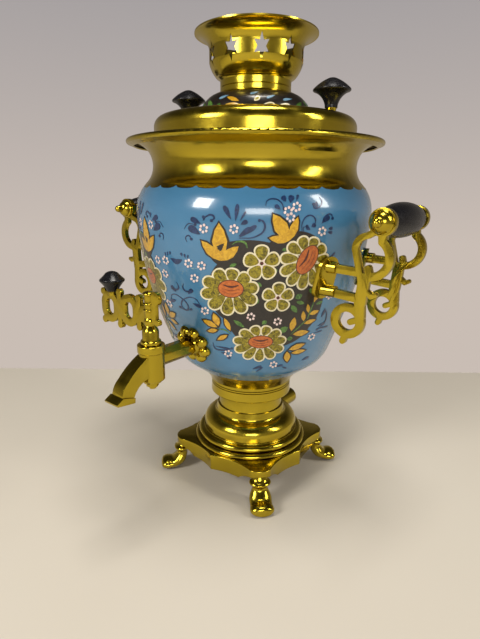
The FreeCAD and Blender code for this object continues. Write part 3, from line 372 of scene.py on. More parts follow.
def touch(shape, start, end, width):
    """A copy of a brush shape on the sheet, in mm, from its start to its end and so wide."""
    dx, dz = end[0] - start[0], end[1] - start[1]
    length = math.hypot(dx, dz)
    along, across = Vector((dx, 0, dz)) / length, Vector((dz, 0, -dx)) / length
    middle = Vector(((start[0] + end[0]) / 2, -SHEET_FRONT, (start[1] + end[1]) / 2))
    copy = shape.copy()
    copy.data = shape.data.copy()
    bpy.context.collection.objects.link(copy)
    frame_of = Matrix((across * width, Vector((0, 1, 0)), along * length)).transposed()
    copy.matrix_world = Matrix.Translation(middle * MM) @ (frame_of * MM).to_4x4()
    return copy


STROKE_SWELL = (0.25, 0.7, 1.0)
STROKE_END = 0.35
LEAF_SPINE = ((0, -0.5), (0, -0.25), (0, 0.02), (0, 0.3), (0, 0.5))
LEAF_SWELL = (0.04, 0.76, 1.0, 0.62, 0.02)


def ribbon(points, width, swell=None):
    """A long thin stroke through points on the sheet, in mm. It swells after its start and thins to its end."""
    nothing_chosen()
    bpy.ops.curve.primitive_bezier_curve_add()
    line = bpy.context.object
    spline = line.data.splines[0]
    spline.bezier_points.add(len(points) - 2)
    for i, (point, (x, z)) in enumerate(zip(spline.bezier_points, points)):
        point.co = Vector((x, z, 0)) * MM
        point.handle_left_type = point.handle_right_type = "AUTO"
        thick = STROKE_SWELL[min(i, 2)] if i < len(points) - 1 else STROKE_END
        point.radius = swell[i] if swell else thick
    line.data.dimensions = "2D"
    line.data.fill_mode = "NONE"
    line.data.resolution_u = 10
    line.data.extrude = 0
    line.data.bevel_mode = "OBJECT"
    line.data.bevel_object = ribbon_edge(width)
    bpy.ops.object.convert(target="MESH")
    line.rotation_euler = (math.pi / 2, 0, 0)
    line.location = (0, -SHEET_FRONT * MM, 0)
    return line


ribbon_edges = {}


def ribbon_edge(width):
    """The flat cross-section of a stroke: a straight line so wide, kept for the strokes that share it."""
    if width not in ribbon_edges:
        active = bpy.context.object
        bpy.ops.curve.primitive_bezier_curve_add()
        edge = bpy.context.object
        for point, x in zip(edge.data.splines[0].bezier_points, (-0.5, 0.5)):
            point.co = (x * width * MM, 0, 0)
            point.handle_left_type = point.handle_right_type = "VECTOR"
        edge.data.resolution_u = 1
        ribbon_edges[width] = edge
        edge.select_set(False)
        bpy.context.view_layer.objects.active = active
        active.select_set(True)
    return ribbon_edges[width]


leaf_touch = ribbon(LEAF_SPINE, 1.0, LEAF_SWELL)
leaf_touch.name = "leaf_touch"
leaf_touch.location = (0, 0, 0)
leaf_touch.scale = (1 / MM, 1 / MM, 1 / MM)
bpy.ops.object.transform_apply(location=True, rotation=True, scale=True)


def lay_on(name, strokes, angle, layer, slot, material, target, body="body", mirror=False):
    """Joins strokes, turns their sheet to the angle, presses it onto the target and gives it thickness."""
    nothing_chosen()
    for stroke in strokes:
        stroke.select_set(True)
    bpy.context.view_layer.objects.active = strokes[0]
    bpy.ops.object.convert(target="MESH")
    bpy.ops.object.join()
    piece = bpy.context.object
    piece.name = piece.data.name = name
    bpy.ops.object.transform_apply(location=True, rotation=True, scale=True)
    if mirror:
        piece.scale = (-1, 1, 1)
        bpy.ops.object.transform_apply(location=False, rotation=False, scale=True)
    bpy.ops.object.mode_set(mode="EDIT")
    bpy.ops.mesh.select_all(action="SELECT")
    bpy.ops.mesh.normals_make_consistent(inside=False)
    bpy.ops.object.mode_set(mode="OBJECT")
    for face in piece.data.polygons:
        face.select = face.normal.y > 0
    bpy.ops.object.mode_set(mode="EDIT")
    bpy.ops.mesh.flip_normals()
    bpy.ops.object.mode_set(mode="OBJECT")
    piece.rotation_euler = (0, 0, math.radians(angle + 90))
    bpy.context.view_layer.update()
    apply_modifier(piece, "SHRINKWRAP", wrap_method="PROJECT", wrap_mode="ABOVE_SURFACE", target=target,
                   use_project_y=True, use_positive_direction=True, use_negative_direction=False,
                   offset=layer * MM)
    apply_modifier(piece, "SOLIDIFY", thickness=STROKE_THICK * MM, offset=-1.0)
    bpy.ops.object.transform_apply(location=True, rotation=True, scale=True)
    bpy.ops.object.shade_smooth_by_angle(angle=math.radians(50))
    finish(piece, body, slot, material)
    return piece


def paint(name, colour, second, grain, metal=0.0):
    """Oil paint under clear varnish: two mixed tones in streaks as coarse as the brush's hairs."""
    material, tree = new_material(name)
    place = add_node(tree, "ShaderNodeTexCoord").outputs["Object"]
    hairs = add_node(tree, "ShaderNodeTexNoise",
                     {"Scale": 1 / (grain * MM), "Detail": 4.0, "Distortion": 1.2}, {"Vector": place})
    spread = add_node(tree, "ShaderNodeMapRange", {1: 0.35, 2: 0.65}, {0: hairs.outputs[0]})
    tone = add_node(tree, "ShaderNodeMix", {6: linear(colour), 7: linear(second)}, {0: spread.outputs[0]},
                    data_type="RGBA")
    bump = add_node(tree, "ShaderNodeBump", {"Strength": 0.4, "Distance": 0.05 * MM},
                    {"Height": hairs.outputs[0]})
    film = add_node(tree, "ShaderNodeBsdfPrincipled",
                    {"Roughness": 0.3, "Metallic": metal, "Coat Weight": 0.5, "Coat Roughness": 0.08},
                    {"Base Color": tone.outputs[2], "Normal": bump.outputs[0]})
    add_node(tree, "ShaderNodeOutputMaterial", links={"Surface": film.outputs[0]})
    return material


black_paint = paint("paint_ivory_black", "16120F", "231C18", 3)
cream_paint = paint("paint_cream_white", "E9E2C6", "D5CBA6", 2)
bronze_paint = paint("paint_bronze_olive", "A89A26", "4E4712", 2.5, metal=0.35)
ochre_paint = paint("paint_yellow_ochre", "D8AC2A", "B98A1E", 3)
orange_paint = paint("paint_burnt_orange", "C8702A", "A9501A", 2.5)
umber_paint = paint("paint_dark_umber", "3A130C", "5A1D10", 2)
green_paint = paint("paint_leaf_green", "5E8A3A", "2F5A24", 2)
navy_paint = paint("paint_deep_blue", "14264A", "1F3A66", 2)
sky_paint = paint("paint_sky_blue", "7FA6C4", "55809F", 2)
rose_paint = paint("paint_rose_white", "F0E6E2", "D9B9B6", 1.5)

# A daisy: middle, half sizes of its ring of petals, middle and half sizes of its centre, tilt, petals, and the
# first petal's angle.
DAISIES = (
    ((-20.8, 190.7), (21.1, 18.4), (-19.8, 193.5), (8.6, 6.2), 0, 10, 12),
    ((31.1, 211.6), (18.6, 19.6), (32.6, 214.0), (10.6, 6.3), 62, 11, 4),
    ((2.0, 149.1), (20.5, 16.6), (2.6, 150.9), (8.9, 5.2), 0, 11, 8),
)
# A five-petalled flower: middle, how far its petals reach, first angle.
FIVE_PETALS = (((0.9, 212.3), 13.0, 92), ((13.3, 187.2), 11.9, 88))
# Leaves: start, tip, width.
OCHRE_LEAVES = (
    (-26.9, 213.2, -40.2, 226.7, 7.0), (-26.9, 213.2, -28.0, 239.1, 10.7), (-26.9, 213.2, -14.6, 223.8, 7.0),
    (19.1, 227.5, 7.3, 245.3, 9.8), (19.1, 227.5, 24.4, 243.4, 6.1), (19.1, 227.5, 5.0, 229.5, 5.7),
    (40.8, 181.3, 46.9, 198.2, 5.7), (37.4, 173.0, 36.0, 180.9, 3.1), (38.0, 171.9, 46.1, 173.8, 3.9),
    (34.3, 166.4, 32.9, 175.5, 3.8), (34.5, 164.3, 44.3, 166.5, 3.8), (25.2, 158.8, 26.9, 171.0, 5.4),
    (26.5, 156.0, 39.7, 156.5, 5.6), (24.9, 142.0, 37.8, 145.5, 5.4), (27.2, 138.6, 39.3, 139.0, 4.1),
    (23.6, 140.5, 24.6, 130.1, 5.4), (-29.4, 161.8, -40.5, 166.7, 4.8), (-28.5, 162.9, -32.3, 173.6, 5.4),
    (-29.2, 159.5, -37.3, 157.2, 3.8), (-19.8, 159.7, -24.5, 170.4, 3.9), (-21.9, 155.9, -29.9, 150.3, 3.8),
)
GREEN_LEAVES = (
    (-2.8, 197.9, 1.5, 196.0, 2.8), (-3.4, 182.8, -0.1, 186.0, 2.8), (-4.0, 186.8, 0.1, 185.1, 2.1),
    (26.1, 186.0, 30.9, 188.4, 3.6), (27.1, 183.2, 33.2, 181.4, 2.5), (23.4, 180.7, 28.2, 174.6, 3.3),
    (-17.7, 169.1, -9.8, 163.4, 2.6), (3.0, 166.2, 6.1, 169.0, 3.0), (16.0, 159.0, 22.4, 162.8, 4.4),
    (22.5, 151.9, 27.0, 152.9, 3.3), (14.3, 221.3, 17.8, 221.9, 2.0), (-16.0, 211.6, -20.9, 209.7, 2.0),
    (11.6, 206.4, 10.3, 208.5, 1.6), (38.0, 189.1, 36.5, 192.9, 2.0), (42.8, 179.6, 48.1, 181.2, 2.0),
)
STALKS = (
    ((-19.3, 224.7), (-15.4, 226.9), (-10.7, 226.2), (-8.9, 222.6)),
    ((37.0, 168.0), (38.5, 174.0), (41.0, 182.0)),
    ((25.0, 156.0), (30.0, 161.0), (36.0, 167.0)),
    ((-20.0, 157.0), (-24.0, 160.0), (-29.0, 160.5)),
)
DOT_RINGS = ((-38.2, 234.8), (-18.0, 235.1), (-49.5, 209.8), (-40.2, 208.9), (-45.5, 199.3), (17.5, 246.8),
             (23.1, 249.5), (19.2, 242.9), (42.1, 233.3), (53.2, 185.2), (-5.4, 172.4), (14.2, 168.2),
             (-38.4, 174.6), (-21.4, 139.1), (42.7, 150.9), (13.6, 129.3))
DOT_RING_RADIUS = 2.35
DOT_WIDTH = 1.7
BLUE_COMMAS = (
    (-48.8, 235.6, -40.9, 230.7, 4.5), (-47.2, 241.3, -40.4, 237.9, 3.3), (-38.6, 243.4, -38.0, 240.1, 1.6),
    (-24.7, 250.0, -20.0, 241.2, 2.8), (-15.7, 251.2, -17.1, 240.3, 2.5), (-10.2, 246.7, -14.1, 240.4, 1.3),
    (-9.2, 240.5, -13.6, 238.1, 2.8), (-6.9, 236.2, -14.8, 230.3, 3.0), (-3.2, 237.6, -14.3, 229.7, 2.8),
    (8.7, 250.6, 12.3, 248.0, 2.5), (13.7, 256.4, 15.8, 252.8, 3.0), (19.9, 256.9, 19.0, 252.1, 3.6),
    (24.3, 257.3, 23.1, 253.6, 1.5), (38.1, 251.1, 35.5, 250.7, 3.6), (32.3, 236.5, 30.7, 234.8, 3.6),
    (37.0, 238.0, 34.2, 236.7, 3.0), (46.9, 243.6, 42.1, 239.2, 3.6), (50.3, 235.2, 47.0, 234.7, 2.1),
    (50.3, 231.9, 46.6, 232.7, 2.0), (54.1, 217.8, 49.1, 212.9, 1.3), (54.7, 211.2, 48.2, 212.2, 1.6),
    (54.2, 207.2, 50.1, 210.7, 1.6), (-47.6, 190.4, -50.9, 186.1, 2.8), (-41.0, 177.1, -47.7, 179.0, 2.5),
    (-55.2, 216.9, -54.3, 214.4, 1.3), (-52.6, 216.3, -52.1, 213.4, 1.1), (-50.0, 215.7, -50.3, 213.1, 1.0),
    (-59.9, 209.2, -54.4, 211.8, 3.3), (51.6, 173.6, 49.0, 167.4, 2.0), (53.3, 161.5, 47.1, 159.8, 1.6),
    (57.1, 156.9, 47.0, 157.1, 1.1), (51.8, 154.1, 44.4, 153.8, 1.0), (-20.5, 143.2, -31.4, 144.3, 1.3),
    (-20.0, 133.7, -22.8, 136.7, 2.1), (-22.3, 138.5, -26.9, 138.9, 1.6), (4.4, 128.1, -2.4, 125.1, 2.0),
    (5.4, 126.9, 0.0, 122.0, 1.1), (21.4, 127.9, 13.8, 126.3, 1.5), (24.7, 123.5, 20.5, 126.1, 1.1),
    (43.5, 130.8, 37.3, 129.1, 2.1),
)
BLUE_SCROLLS = (
    (1.3, (-14.6, 229.1), (-3.7, 230.3), (2.1, 235.4), (0.7, 240.6), (-1.4, 240.9)),
    (1.3, (-38.8, 240.0), (-36.3, 242.9), (-32.7, 243.8), (-31.2, 242.1), (-33.0, 240.2)),
    (0.9, (-52.2, 233.7), (-48.8, 237.5), (-44.2, 237.1)),
    (0.9, (-50.4, 224.8), (-51.1, 228.1), (-48.9, 229.4), (-47.1, 227.1)),
    (1.3, (-54.3, 194.0), (-54.7, 190.2), (-51.8, 188.0), (-48.3, 189.4)),
    (0.9, (-41.5, 176.9), (-45.8, 183.1), (-53.1, 182.3), (-56.8, 176.1), (-53.6, 172.3), (-49.3, 173.7)),
    (0.9, (2.5, 250.1), (3.3, 253.1), (7.6, 254.6), (12.3, 252.8), (14.7, 248.3)),
    (0.9, (39.1, 255.9), (41.2, 252.8), (38.5, 249.0), (35.5, 249.0), (35.1, 251.3)),
    (0.9, (27.5, 232.5), (27.8, 239.9), (31.9, 244.1), (36.6, 241.7), (36.5, 237.4)),
    (0.9, (29.1, 232.8), (28.5, 236.0), (31.0, 237.1)),
    (0.9, (41.7, 238.4), (43.7, 243.1), (48.2, 244.6), (49.7, 241.8)),
    (1.3, (-33.2, 147.3), (-31.4, 142.1), (-25.9, 141.3), (-18.8, 143.8)),
    (1.3, (51.1, 174.7), (53.8, 167.8), (52.4, 160.7), (47.1, 156.5)),
)
GROUND_PATCHES = ((1.5, 190.0, 30.0, 36.0), (24.0, 212.0, 24.0, 22.0), (-14.0, 192.0, 22.0, 26.0),
                  (10.0, 165.0, 30.0, 20.0), (28.0, 185.0, 20.0, 30.0), (-8.0, 217.0, 26.0, 11.0))


def grown(start, end, by):
    """A stroke's start and end moved apart, for the darker or paler edge painted under it."""
    length = math.hypot(end[0] - start[0], end[1] - start[1])
    ux, uz = (end[0] - start[0]) / length * by, (end[1] - start[1]) / length * by
    return (start[0] - ux, start[1] - uz), (end[0] + ux, end[1] + uz)


def paint_bouquet(name, angle, target, mirror=False):
    """One bouquet, painted from the ground up, facing the given angle round the vessel."""
    ground, edges, petals, centres, slashes, lines, ochre, green, blue, dots = ([] for _ in range(10))
    for x, z, half_width, half_height in GROUND_PATCHES:
        ground.append(touch(ground_touch, (x, z - half_height), (x, z + half_height), 2 * half_width))
    for middle, reach, centre, half, tilt, count, first in DAISIES:
        tilt_angle = math.radians(tilt)
        for i in range(count):
            turn = math.radians(first + 360 * i / count)
            root = (centre[0] + 0.55 * half[0] * math.cos(turn), centre[1] + 0.55 * half[0] * math.sin(turn))
            tip = (middle[0] + reach[0] * math.cos(turn), middle[1] + reach[1] * math.sin(turn))
            width = 2 * math.pi * (reach[0] + reach[1]) / 2 / count * 0.80
            edges.append(touch(petal_touch, root, tip, width))
            inner_root, inner_tip = grown(root, tip, -1.15)
            petals.append(touch(petal_touch, inner_root, inner_tip, width - 2.2))
        along = (math.cos(tilt_angle) * half[0], math.sin(tilt_angle) * half[0])
        across = (-math.sin(tilt_angle), math.cos(tilt_angle))
        start = (centre[0] - along[0], centre[1] - along[1])
        end = (centre[0] + along[0], centre[1] + along[1])
        rim_start, rim_end = grown(start, end, 0.6)
        slashes.append(touch(round_touch, rim_start, rim_end, 2 * half[1] + 1.2))
        centres.append(touch(round_touch, start, end, 2 * half[1]))
        for shift, span, width in ((0.45, 0.62, 2.3), (0.0, 0.72, 0.5), (-0.4, 0.66, 0.45)):
            lift = (across[0] * half[1] * shift, across[1] * half[1] * shift)
            stroke = [(centre[0] + lift[0] + along[0] * span * t - across[0] * 1.3 * (1 - t * t),
                       centre[1] + lift[1] + along[1] * span * t - across[1] * 1.3 * (1 - t * t))
                      for t in (-1, 0, 1)]
            lines.append(ribbon(stroke, width))
    for (x, z), reach, first in FIVE_PETALS:
        for i in range(5):
            turn = math.radians(first + 72 * i)
            root = (x + 0.08 * reach * math.cos(turn), z + 0.08 * reach * math.sin(turn))
            tip = (x + reach * math.cos(turn), z + reach * math.sin(turn))
            edges.append(touch(petal_touch, root, tip, reach * 0.78))
            inner_root, inner_tip = grown(root, tip, -1.1)
            petals.append(touch(petal_touch, inner_root, inner_tip, reach * 0.78 - 2.1))
            turn += math.radians(36)
            at = (x + 0.17 * reach * math.cos(turn), z + 0.17 * reach * math.sin(turn))
            dots.append(touch(round_touch, (at[0], at[1] - 0.8), (at[0], at[1] + 0.8), 1.6))
        lines.append(touch(round_touch, (x, z - 1.2), (x, z + 1.2), 2.4))
    for x0, z0, x1, z1, width in OCHRE_LEAVES:
        ground.append(touch(leaf_touch, *grown((x0, z0), (x1, z1), 1.2), width * 1.1 + 1.4))
        ochre.append(touch(leaf_touch, *grown((x0, z0), (x1, z1), -0.3), width * 0.95))
    for x0, z0, x1, z1, width in GREEN_LEAVES:
        green.append(touch(leaf_touch, (x0, z0), (x1, z1), width * 1.2))
    for points in STALKS:
        green.append(ribbon(points, 1.5))
    for x0, z0, x1, z1, width in BLUE_COMMAS:
        blue.append(touch(comma_touch, (x1, z1), (x0, z0), width))
    for width, *points in BLUE_SCROLLS:
        x, z = points[-1]
        blue.append(ribbon(points, width))
        blue.append(touch(round_touch, (x, z - 1.0), (x, z + 1.0), 2.0))
    for x, z in DOT_RINGS:
        for i in range(6):
            turn = math.radians(60 * i + 20)
            at = (x + DOT_RING_RADIUS * math.cos(turn), z + DOT_RING_RADIUS * math.sin(turn))
            dots.append(touch(round_touch, (at[0], at[1] - 0.95), (at[0], at[1] + 0.95), DOT_WIDTH))
    layers = (
        ("blue_strokes", blue, 0.10, navy_paint), ("ground", ground, 0.14, black_paint),
        ("green_leaves", green, 0.22, green_paint), ("ochre_leaves", ochre, 0.22, ochre_paint),
        ("petal_edges", edges, 0.26, cream_paint), ("petals", petals, 0.34, bronze_paint),
        ("centre_rims", slashes, 0.38, umber_paint), ("centres", centres, 0.44, orange_paint),
        ("centre_strokes", lines, 0.50, umber_paint), ("white_dots", dots, 0.42, rose_paint),
    )
    for part, strokes, layer, material in layers:
        lay_on(f"{name}_{part}", strokes, angle, layer, "blue_enamel", material, target, mirror=mirror)


ground_touch = brush_shape("ground_touch", 0, 48)
nothing_chosen()
ground_touch.select_set(True)
bpy.context.view_layer.objects.active = ground_touch
bpy.ops.object.mode_set(mode="EDIT")
bpy.ops.mesh.select_all(action="SELECT")
bpy.ops.mesh.subdivide(number_cuts=4)
bpy.ops.object.mode_set(mode="OBJECT")
paint_bouquet("right_bouquet", -50, enamel_coat)
paint_bouquet("left_bouquet", -127, enamel_coat, mirror=True)


# The same painter's work on the little dome under the crown: a black ground, and on it sprigs of leaves and
# petals in three places.
DOME_TOP = 330.6
DOME_LINE = outline((44.65, 315.4), (44.65, 318.0), (43.45, 321.5), (28.65, 333.55, 21.0))


dome_line = [point for point in DOME_LINE if point[1] < DOME_TOP - 0.3]
dome_line.append((radius_at(DOME_LINE, DOME_TOP), DOME_TOP))
dome_ground = turned("dome_ground", dome_line, 192)
apply_modifier(dome_ground, "SOLIDIFY", thickness=ENAMEL_THICK * MM, offset=1.0)
bpy.ops.object.shade_smooth_by_angle(angle=math.radians(40))
finish(dome_ground, "lid", "blue_enamel", black_paint)

# Each leaf, petal or comma: start, tip and width.
DOME_GREEN = ((-33.0, 317.0, -35.0, 325.5, 4.0), (-29.0, 317.5, -26.0, 321.5, 2.6),
              (30.0, 317.5, 34.5, 324.0, 3.4))
DOME_YELLOW = ((-8.5, 317.6, -22.0, 320.2, 4.2), (-12.0, 322.0, -21.0, 325.5, 3.0))
DOME_PETALS = ((4.0, 317.8, 14.0, 319.4, 4.6), (15.6, 317.8, 25.6, 319.4, 4.6),
               (-1.0, 322.0, 3.0, 325.0, 3.2))
DOME_BLUE = ((-27.0, 325.0, -20.0, 327.0, 1.6), (8.0, 324.0, 14.0, 326.5, 1.6),
             (20.0, 323.5, 27.0, 325.0, 1.6), (-4.0, 327.0, 2.0, 328.6, 1.3))
for turn, angle in enumerate((-53, 67, 187)):
    greens = [touch(leaf_touch, (x0, z0), (x1, z1), width) for x0, z0, x1, z1, width in DOME_GREEN]
    yellows = [touch(leaf_touch, (x0, z0), (x1, z1), width) for x0, z0, x1, z1, width in DOME_YELLOW]
    rims = [touch(petal_touch, (x0, z0), (x1, z1), width) for x0, z0, x1, z1, width in DOME_PETALS]
    hearts = [touch(petal_touch, *grown((x0, z0), (x1, z1), -0.9), width - 1.8)
              for x0, z0, x1, z1, width in DOME_PETALS]
    blues = [touch(comma_touch, (x1, z1), (x0, z0), width) for x0, z0, x1, z1, width in DOME_BLUE]
    for part, strokes, layer, material in (
            ("leaves", greens, 0.05, green_paint), ("yellow_leaves", yellows, 0.05, ochre_paint),
            ("petal_edges", rims, 0.05, cream_paint), ("petals", hearts, 0.12, bronze_paint),
            ("commas", blues, 0.05, sky_paint)):
        lay_on(f"dome_{part}_{turn + 1}", strokes, angle, layer, "blue_enamel", material, dome_ground,
               body="lid")
for shape in [round_touch, petal_touch, leaf_touch, comma_touch, ground_touch, *ribbon_edges.values()]:
    bpy.data.objects.remove(shape)


# The pedestal: a turned collar and dome of spun brass, a cast base plate, and four cast feet screwed on from
# below. A casting's edges are rounded by the file and the buff, so that each one carries a thin bright line.
MERGE_WITHIN = 0.002 * MM
FLAT_WITHIN = 0.5
FILED_TURNS = 3
SHARP_FROM = 28
SMOOTH_UP_TO = 35
for node in ("foot_collar", "foot_dome"):
    nodes[node].data.materials.clear()
    nodes[node].data.materials.append(spun_brass)


def merged_copy(name, node):
    """A copy of a node with its seams merged, selected and in edit mode, ready to be reshaped."""
    nothing_chosen()
    original = nodes[node]
    piece = original.copy()
    piece.data = original.data.copy()
    piece.name = piece.data.name = name
    bpy.context.collection.objects.link(piece)
    for key in list(piece.keys()):
        del piece[key]
    piece.parent = None
    piece.select_set(True)
    bpy.context.view_layer.objects.active = piece
    bpy.ops.mesh.customdata_custom_splitnormals_clear()
    bpy.ops.object.mode_set(mode="EDIT")
    bpy.ops.mesh.select_all(action="SELECT")
    bpy.ops.mesh.remove_doubles(threshold=MERGE_WITHIN)
    return piece


def softened(name, node, body, round_edge):
    """A casting made from a node, with its sharp edges rounded as by filing; it stands for the node."""
    piece = merged_copy(name, node)
    bpy.ops.mesh.dissolve_limited(angle_limit=math.radians(FLAT_WITHIN))
    bpy.ops.object.mode_set(mode="OBJECT")
    apply_modifier(piece, "BEVEL", width=round_edge * MM, segments=FILED_TURNS, limit_method="ANGLE",
                   angle_limit=math.radians(SHARP_FROM), harden_normals=False, use_clamp_overlap=True,
                   miter_outer="MITER_ARC")
    bpy.ops.object.shade_smooth_by_angle(angle=math.radians(SMOOTH_UP_TO))
    finish(piece, body, "brass", cast_brass)
    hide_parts(node)


softened("base_casting", "base_plate", "body", 2.2)

# Each foot's rings from the top down: distance from the axis, height, half width, half thickness, lean.
FOOT_RINGS = (
    (63.0, 30.5, 6.0, 5.0, 0), (64.6, 24.5, 6.0, 5.0, 4), (65.6, 23.2, 8.6, 6.6, 4),
    (66.0, 21.6, 9.8, 7.6, 2), (66.0, 20.0, 8.6, 6.6, 0), (65.6, 18.4, 6.4, 5.0, 0),
    (65.6, 15.4, 6.8, 5.0, -10), (66.6, 12.0, 8.6, 5.8, -25), (68.6, 9.0, 9.8, 6.0, -42),
    (71.6, 6.8, 9.6, 5.6, -62), (75.2, 5.2, 9.4, 5.0, -80), (79.2, 5.1, 10.4, 5.2, -90),
    (82.6, 5.1, 10.2, 5.1, -90), (85.0, 4.9, 7.8, 4.2, -90), (86.0, 4.8, 3.6, 2.2, -90),
)


def cast_foot(corner, angle):
    """A cast cabriole foot: a beaded head, a narrow neck, a full shin and a round toe, drawn ring by ring."""
    nothing_chosen()
    out, height, wide, thick, lean = FOOT_RINGS[0]
    bpy.ops.mesh.primitive_circle_add(vertices=24, radius=1, fill_type="NGON")
    piece = bpy.context.object
    piece.name = piece.data.name = f"foot_{corner}"
    bpy.ops.object.mode_set(mode="EDIT")
    bpy.ops.mesh.select_all(action="SELECT")
    bpy.ops.transform.resize(value=(thick * MM, wide * MM, 1))
    bpy.ops.transform.translate(value=(out * MM, 0, height * MM))
    for next_out, next_height, next_wide, next_thick, next_lean in FOOT_RINGS[1:]:
        centre = (next_out * MM, 0, next_height * MM)
        bpy.ops.mesh.extrude_region_move(
            TRANSFORM_OT_translate={"value": ((next_out - out) * MM, 0, (next_height - height) * MM)})
        bpy.ops.transform.rotate(value=math.radians(lean), orient_axis="Y", center_override=centre)
        bpy.ops.transform.resize(value=(next_thick / thick, next_wide / wide, 1), center_override=centre)
        bpy.ops.transform.rotate(value=math.radians(-next_lean), orient_axis="Y", center_override=centre)
        out, height, wide, thick, lean = next_out, next_height, next_wide, next_thick, next_lean
    bpy.ops.mesh.select_all(action="SELECT")
    bpy.ops.mesh.normals_make_consistent(inside=False)
    bpy.ops.transform.rotate(value=-math.radians(angle), orient_axis="Z", center_override=(0, 0, 0))
    bpy.ops.object.mode_set(mode="OBJECT")
    apply_modifier(piece, "SUBSURF", levels=2, render_levels=2)
    bpy.ops.object.shade_smooth()
    finish(piece, "body", "brass", cast_brass)
    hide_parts(f"leg_{corner}")


for corner, angle in (("front_right", -45), ("back_right", 45), ("back_left", 135), ("front_left", 225)):
    cast_foot(corner, angle)

# The collar's upper sleeve: a turned ring with two fine grooves under the vessel.
SLEEVE_LINE = outline((36.6, 91.6), (37.1, 91.9), (37.1, 94.6), (36.5, 95.1), (37.1, 95.6), (37.1, 96.8),
                      (36.5, 97.3), (37.1, 97.8), (37.1, 99.2), (36.3, 99.8))
sleeve = turned("collar_sleeve", SLEEVE_LINE, 96)
apply_modifier(sleeve, "SOLIDIFY", thickness=0.3 * MM, offset=-1.0)
bpy.ops.object.shade_smooth_by_angle(angle=math.radians(30))
finish(sleeve, "body", "brass", spun_brass)


# The tap: a cast body with its plug's key, and the cast rosette that covers the hole in the wall.
softened("tap_casting", "tap_body", "body", 0.5)
softened("rosette_casting", "tap_rosette", "body", 0.2)
softened("key_casting", "tap_key", "tap_key", 0.5)


# The side handles: pierced cast brackets that hold a slender black grip between two turned brass caps.
HANDLE_OUT, HANDLE_HEIGHT = 128, 241
HANDLE_GIRTH = 0.84
for side in ("right", "left"):
    for end in ("back", "front"):
        softened(f"{side}_{end}_scroll", f"{side}_{end}_bracket", "body", 0.9)


def slimmed(name, node, side, slot, material):
    """A turned piece of a handle, drawn in towards its own axis; it stands for the node."""
    piece = merged_copy(name, node)
    bpy.ops.transform.resize(value=(HANDLE_GIRTH, 1, HANDLE_GIRTH),
                             center_override=(side * HANDLE_OUT * MM, 0, HANDLE_HEIGHT * MM))
    bpy.ops.object.mode_set(mode="OBJECT")
    bpy.ops.object.shade_smooth_by_angle(angle=math.radians(SMOOTH_UP_TO))
    finish(piece, "body", slot, material)
    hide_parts(node)


for side, sign in (("right", 1), ("left", -1)):
    for end in ("back", "front"):
        slimmed(f"{side}_{end}_ball", f"{side}_{end}_cap", sign, "brass", spun_brass)
for node in ("lid_plate", "crown", "lid_dome", "right_back_cap", "right_front_cap",
             "left_back_cap", "left_front_cap", "right_knob_stem", "left_knob_stem", "inlet_shroud"):
    nodes[node].data.materials.clear()
    nodes[node].data.materials.append(spun_brass)
for node in ("inlet_pins", "earth_strip", "heater_bushings", "plug_nut", "plug_washer"):
    nodes[node].data.materials.clear()
    nodes[node].data.materials.append(cast_brass)


# The grips and knobs: black phenolic plastic, moulded and polished, with the fine scuffs of use.
def phenolic(name):
    """Moulded phenolic plastic: near black, glossy, with faint scuffs that only show in its reflections."""
    material, tree = new_material(name)
    place = add_node(tree, "ShaderNodeTexCoord").outputs["Object"]
    scuff = add_node(tree, "ShaderNodeTexNoise", {"Scale": 1 / (4 * MM), "Detail": 6.0, "Distortion": 2.0},
                     {"Vector": place})
    gloss = add_node(tree, "ShaderNodeMapRange", {1: 0.35, 2: 0.7, 3: 0.2, 4: 0.38}, {0: scuff.outputs[0]})
    tone = add_node(tree, "ShaderNodeMix", {6: linear("0C0C0F"), 7: linear("17171C")}, {0: scuff.outputs[0]},
                    data_type="RGBA")
    bump = add_node(tree, "ShaderNodeBump", {"Strength": 0.2, "Distance": 0.04 * MM},
                    {"Height": scuff.outputs[0]})
    plastic = add_node(tree, "ShaderNodeBsdfPrincipled", {"IOR": 1.5, "Specular IOR Level": 0.28},
                       {"Base Color": tone.outputs[2], "Roughness": gloss.outputs[0],
                        "Normal": bump.outputs[0]})
    add_node(tree, "ShaderNodeOutputMaterial", links={"Surface": plastic.outputs[0]})
    return material


black_plastic = phenolic("phenolic_black_moulded")
for side, sign in (("right", 1), ("left", -1)):
    slimmed(f"{side}_grip_turned", f"{side}_grip", sign, "black_gloss", black_plastic)
for node in ("right_grip", "left_grip", "right_lid_knob", "left_lid_knob", "lever_knob"):
    nodes[node].data.materials.clear()
    nodes[node].data.materials.append(black_plastic)


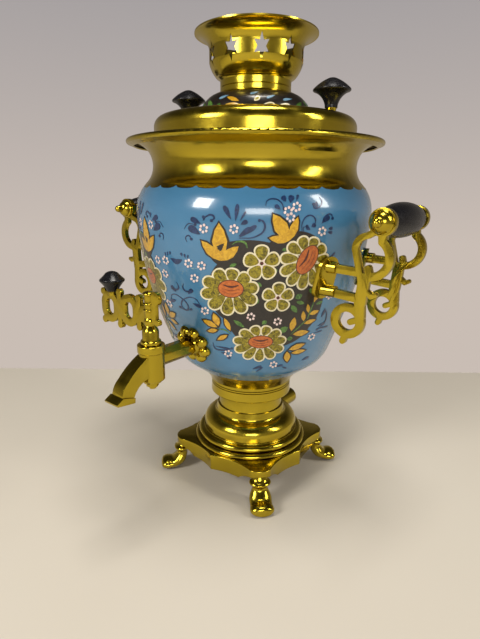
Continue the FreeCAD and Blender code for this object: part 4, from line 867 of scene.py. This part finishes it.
# The fixings and the heater, mostly out of sight: zinc-plated steel, stainless tube, rubber, ceramic and
# sleeved wire.
def plain_finish(name, colour, second, grain, metal, low_gloss, high_gloss, bump_height):
    """A worn workshop finish: two close tones, and a roughness and a relief that follow the same grain."""
    material, tree = new_material(name)
    place = add_node(tree, "ShaderNodeTexCoord").outputs["Object"]
    wear = add_node(tree, "ShaderNodeTexNoise", {"Scale": 1 / (grain * MM), "Detail": 5.0}, {"Vector": place})
    tone = add_node(tree, "ShaderNodeMix", {6: linear(colour), 7: linear(second)}, {0: wear.outputs[0]},
                    data_type="RGBA")
    gloss = add_node(tree, "ShaderNodeMapRange", {1: 0.3, 2: 0.7, 3: low_gloss, 4: high_gloss},
                     {0: wear.outputs[0]})
    bump = add_node(tree, "ShaderNodeBump", {"Strength": 0.5, "Distance": bump_height * MM},
                    {"Height": wear.outputs[0]})
    surface = add_node(tree, "ShaderNodeBsdfPrincipled", {"Metallic": metal},
                       {"Base Color": tone.outputs[2], "Roughness": gloss.outputs[0],
                        "Normal": bump.outputs[0]})
    add_node(tree, "ShaderNodeOutputMaterial", links={"Surface": surface.outputs[0]})
    return material


FITTINGS = {
    plain_finish("steel_zinc_plated", "C4C6C8", "A8AAA8", 3, 1.0, 0.25, 0.42, 0.05):
        "foot_screws clamp_disc tie_rod tie_nuts crown_bolt crown_nut crown_washer bracket_studs "
        "bracket_nuts bracket_washers right_rod left_rod tap_nut tap_washer knob_nuts heater_nuts",
    plain_finish("steel_stainless_satin", "A9A8A4", "8E8C88", 1.5, 1.0, 0.3, 0.45, 0.04):
        "heater_tube heater_terminals",
    plain_finish("rubber_black_moulded", "1C1B1B", "2A2928", 1.0, 0.0, 0.6, 0.8, 0.08):
        "tie_seal heater_gaskets tap_gasket",
    plain_finish("ceramic_steatite_white", "E4DFD3", "D6CFBF", 2.0, 0.0, 0.45, 0.65, 0.05): "inlet_block",
    plain_finish("sleeving_glass_fibre", "C8C0AE", "B4AA94", 0.8, 0.0, 0.7, 0.9, 0.12): "lead_wires",
}
for material, names in FITTINGS.items():
    for node in names.split():
        nodes[node].data.materials.clear()
        nodes[node].data.materials.append(material)
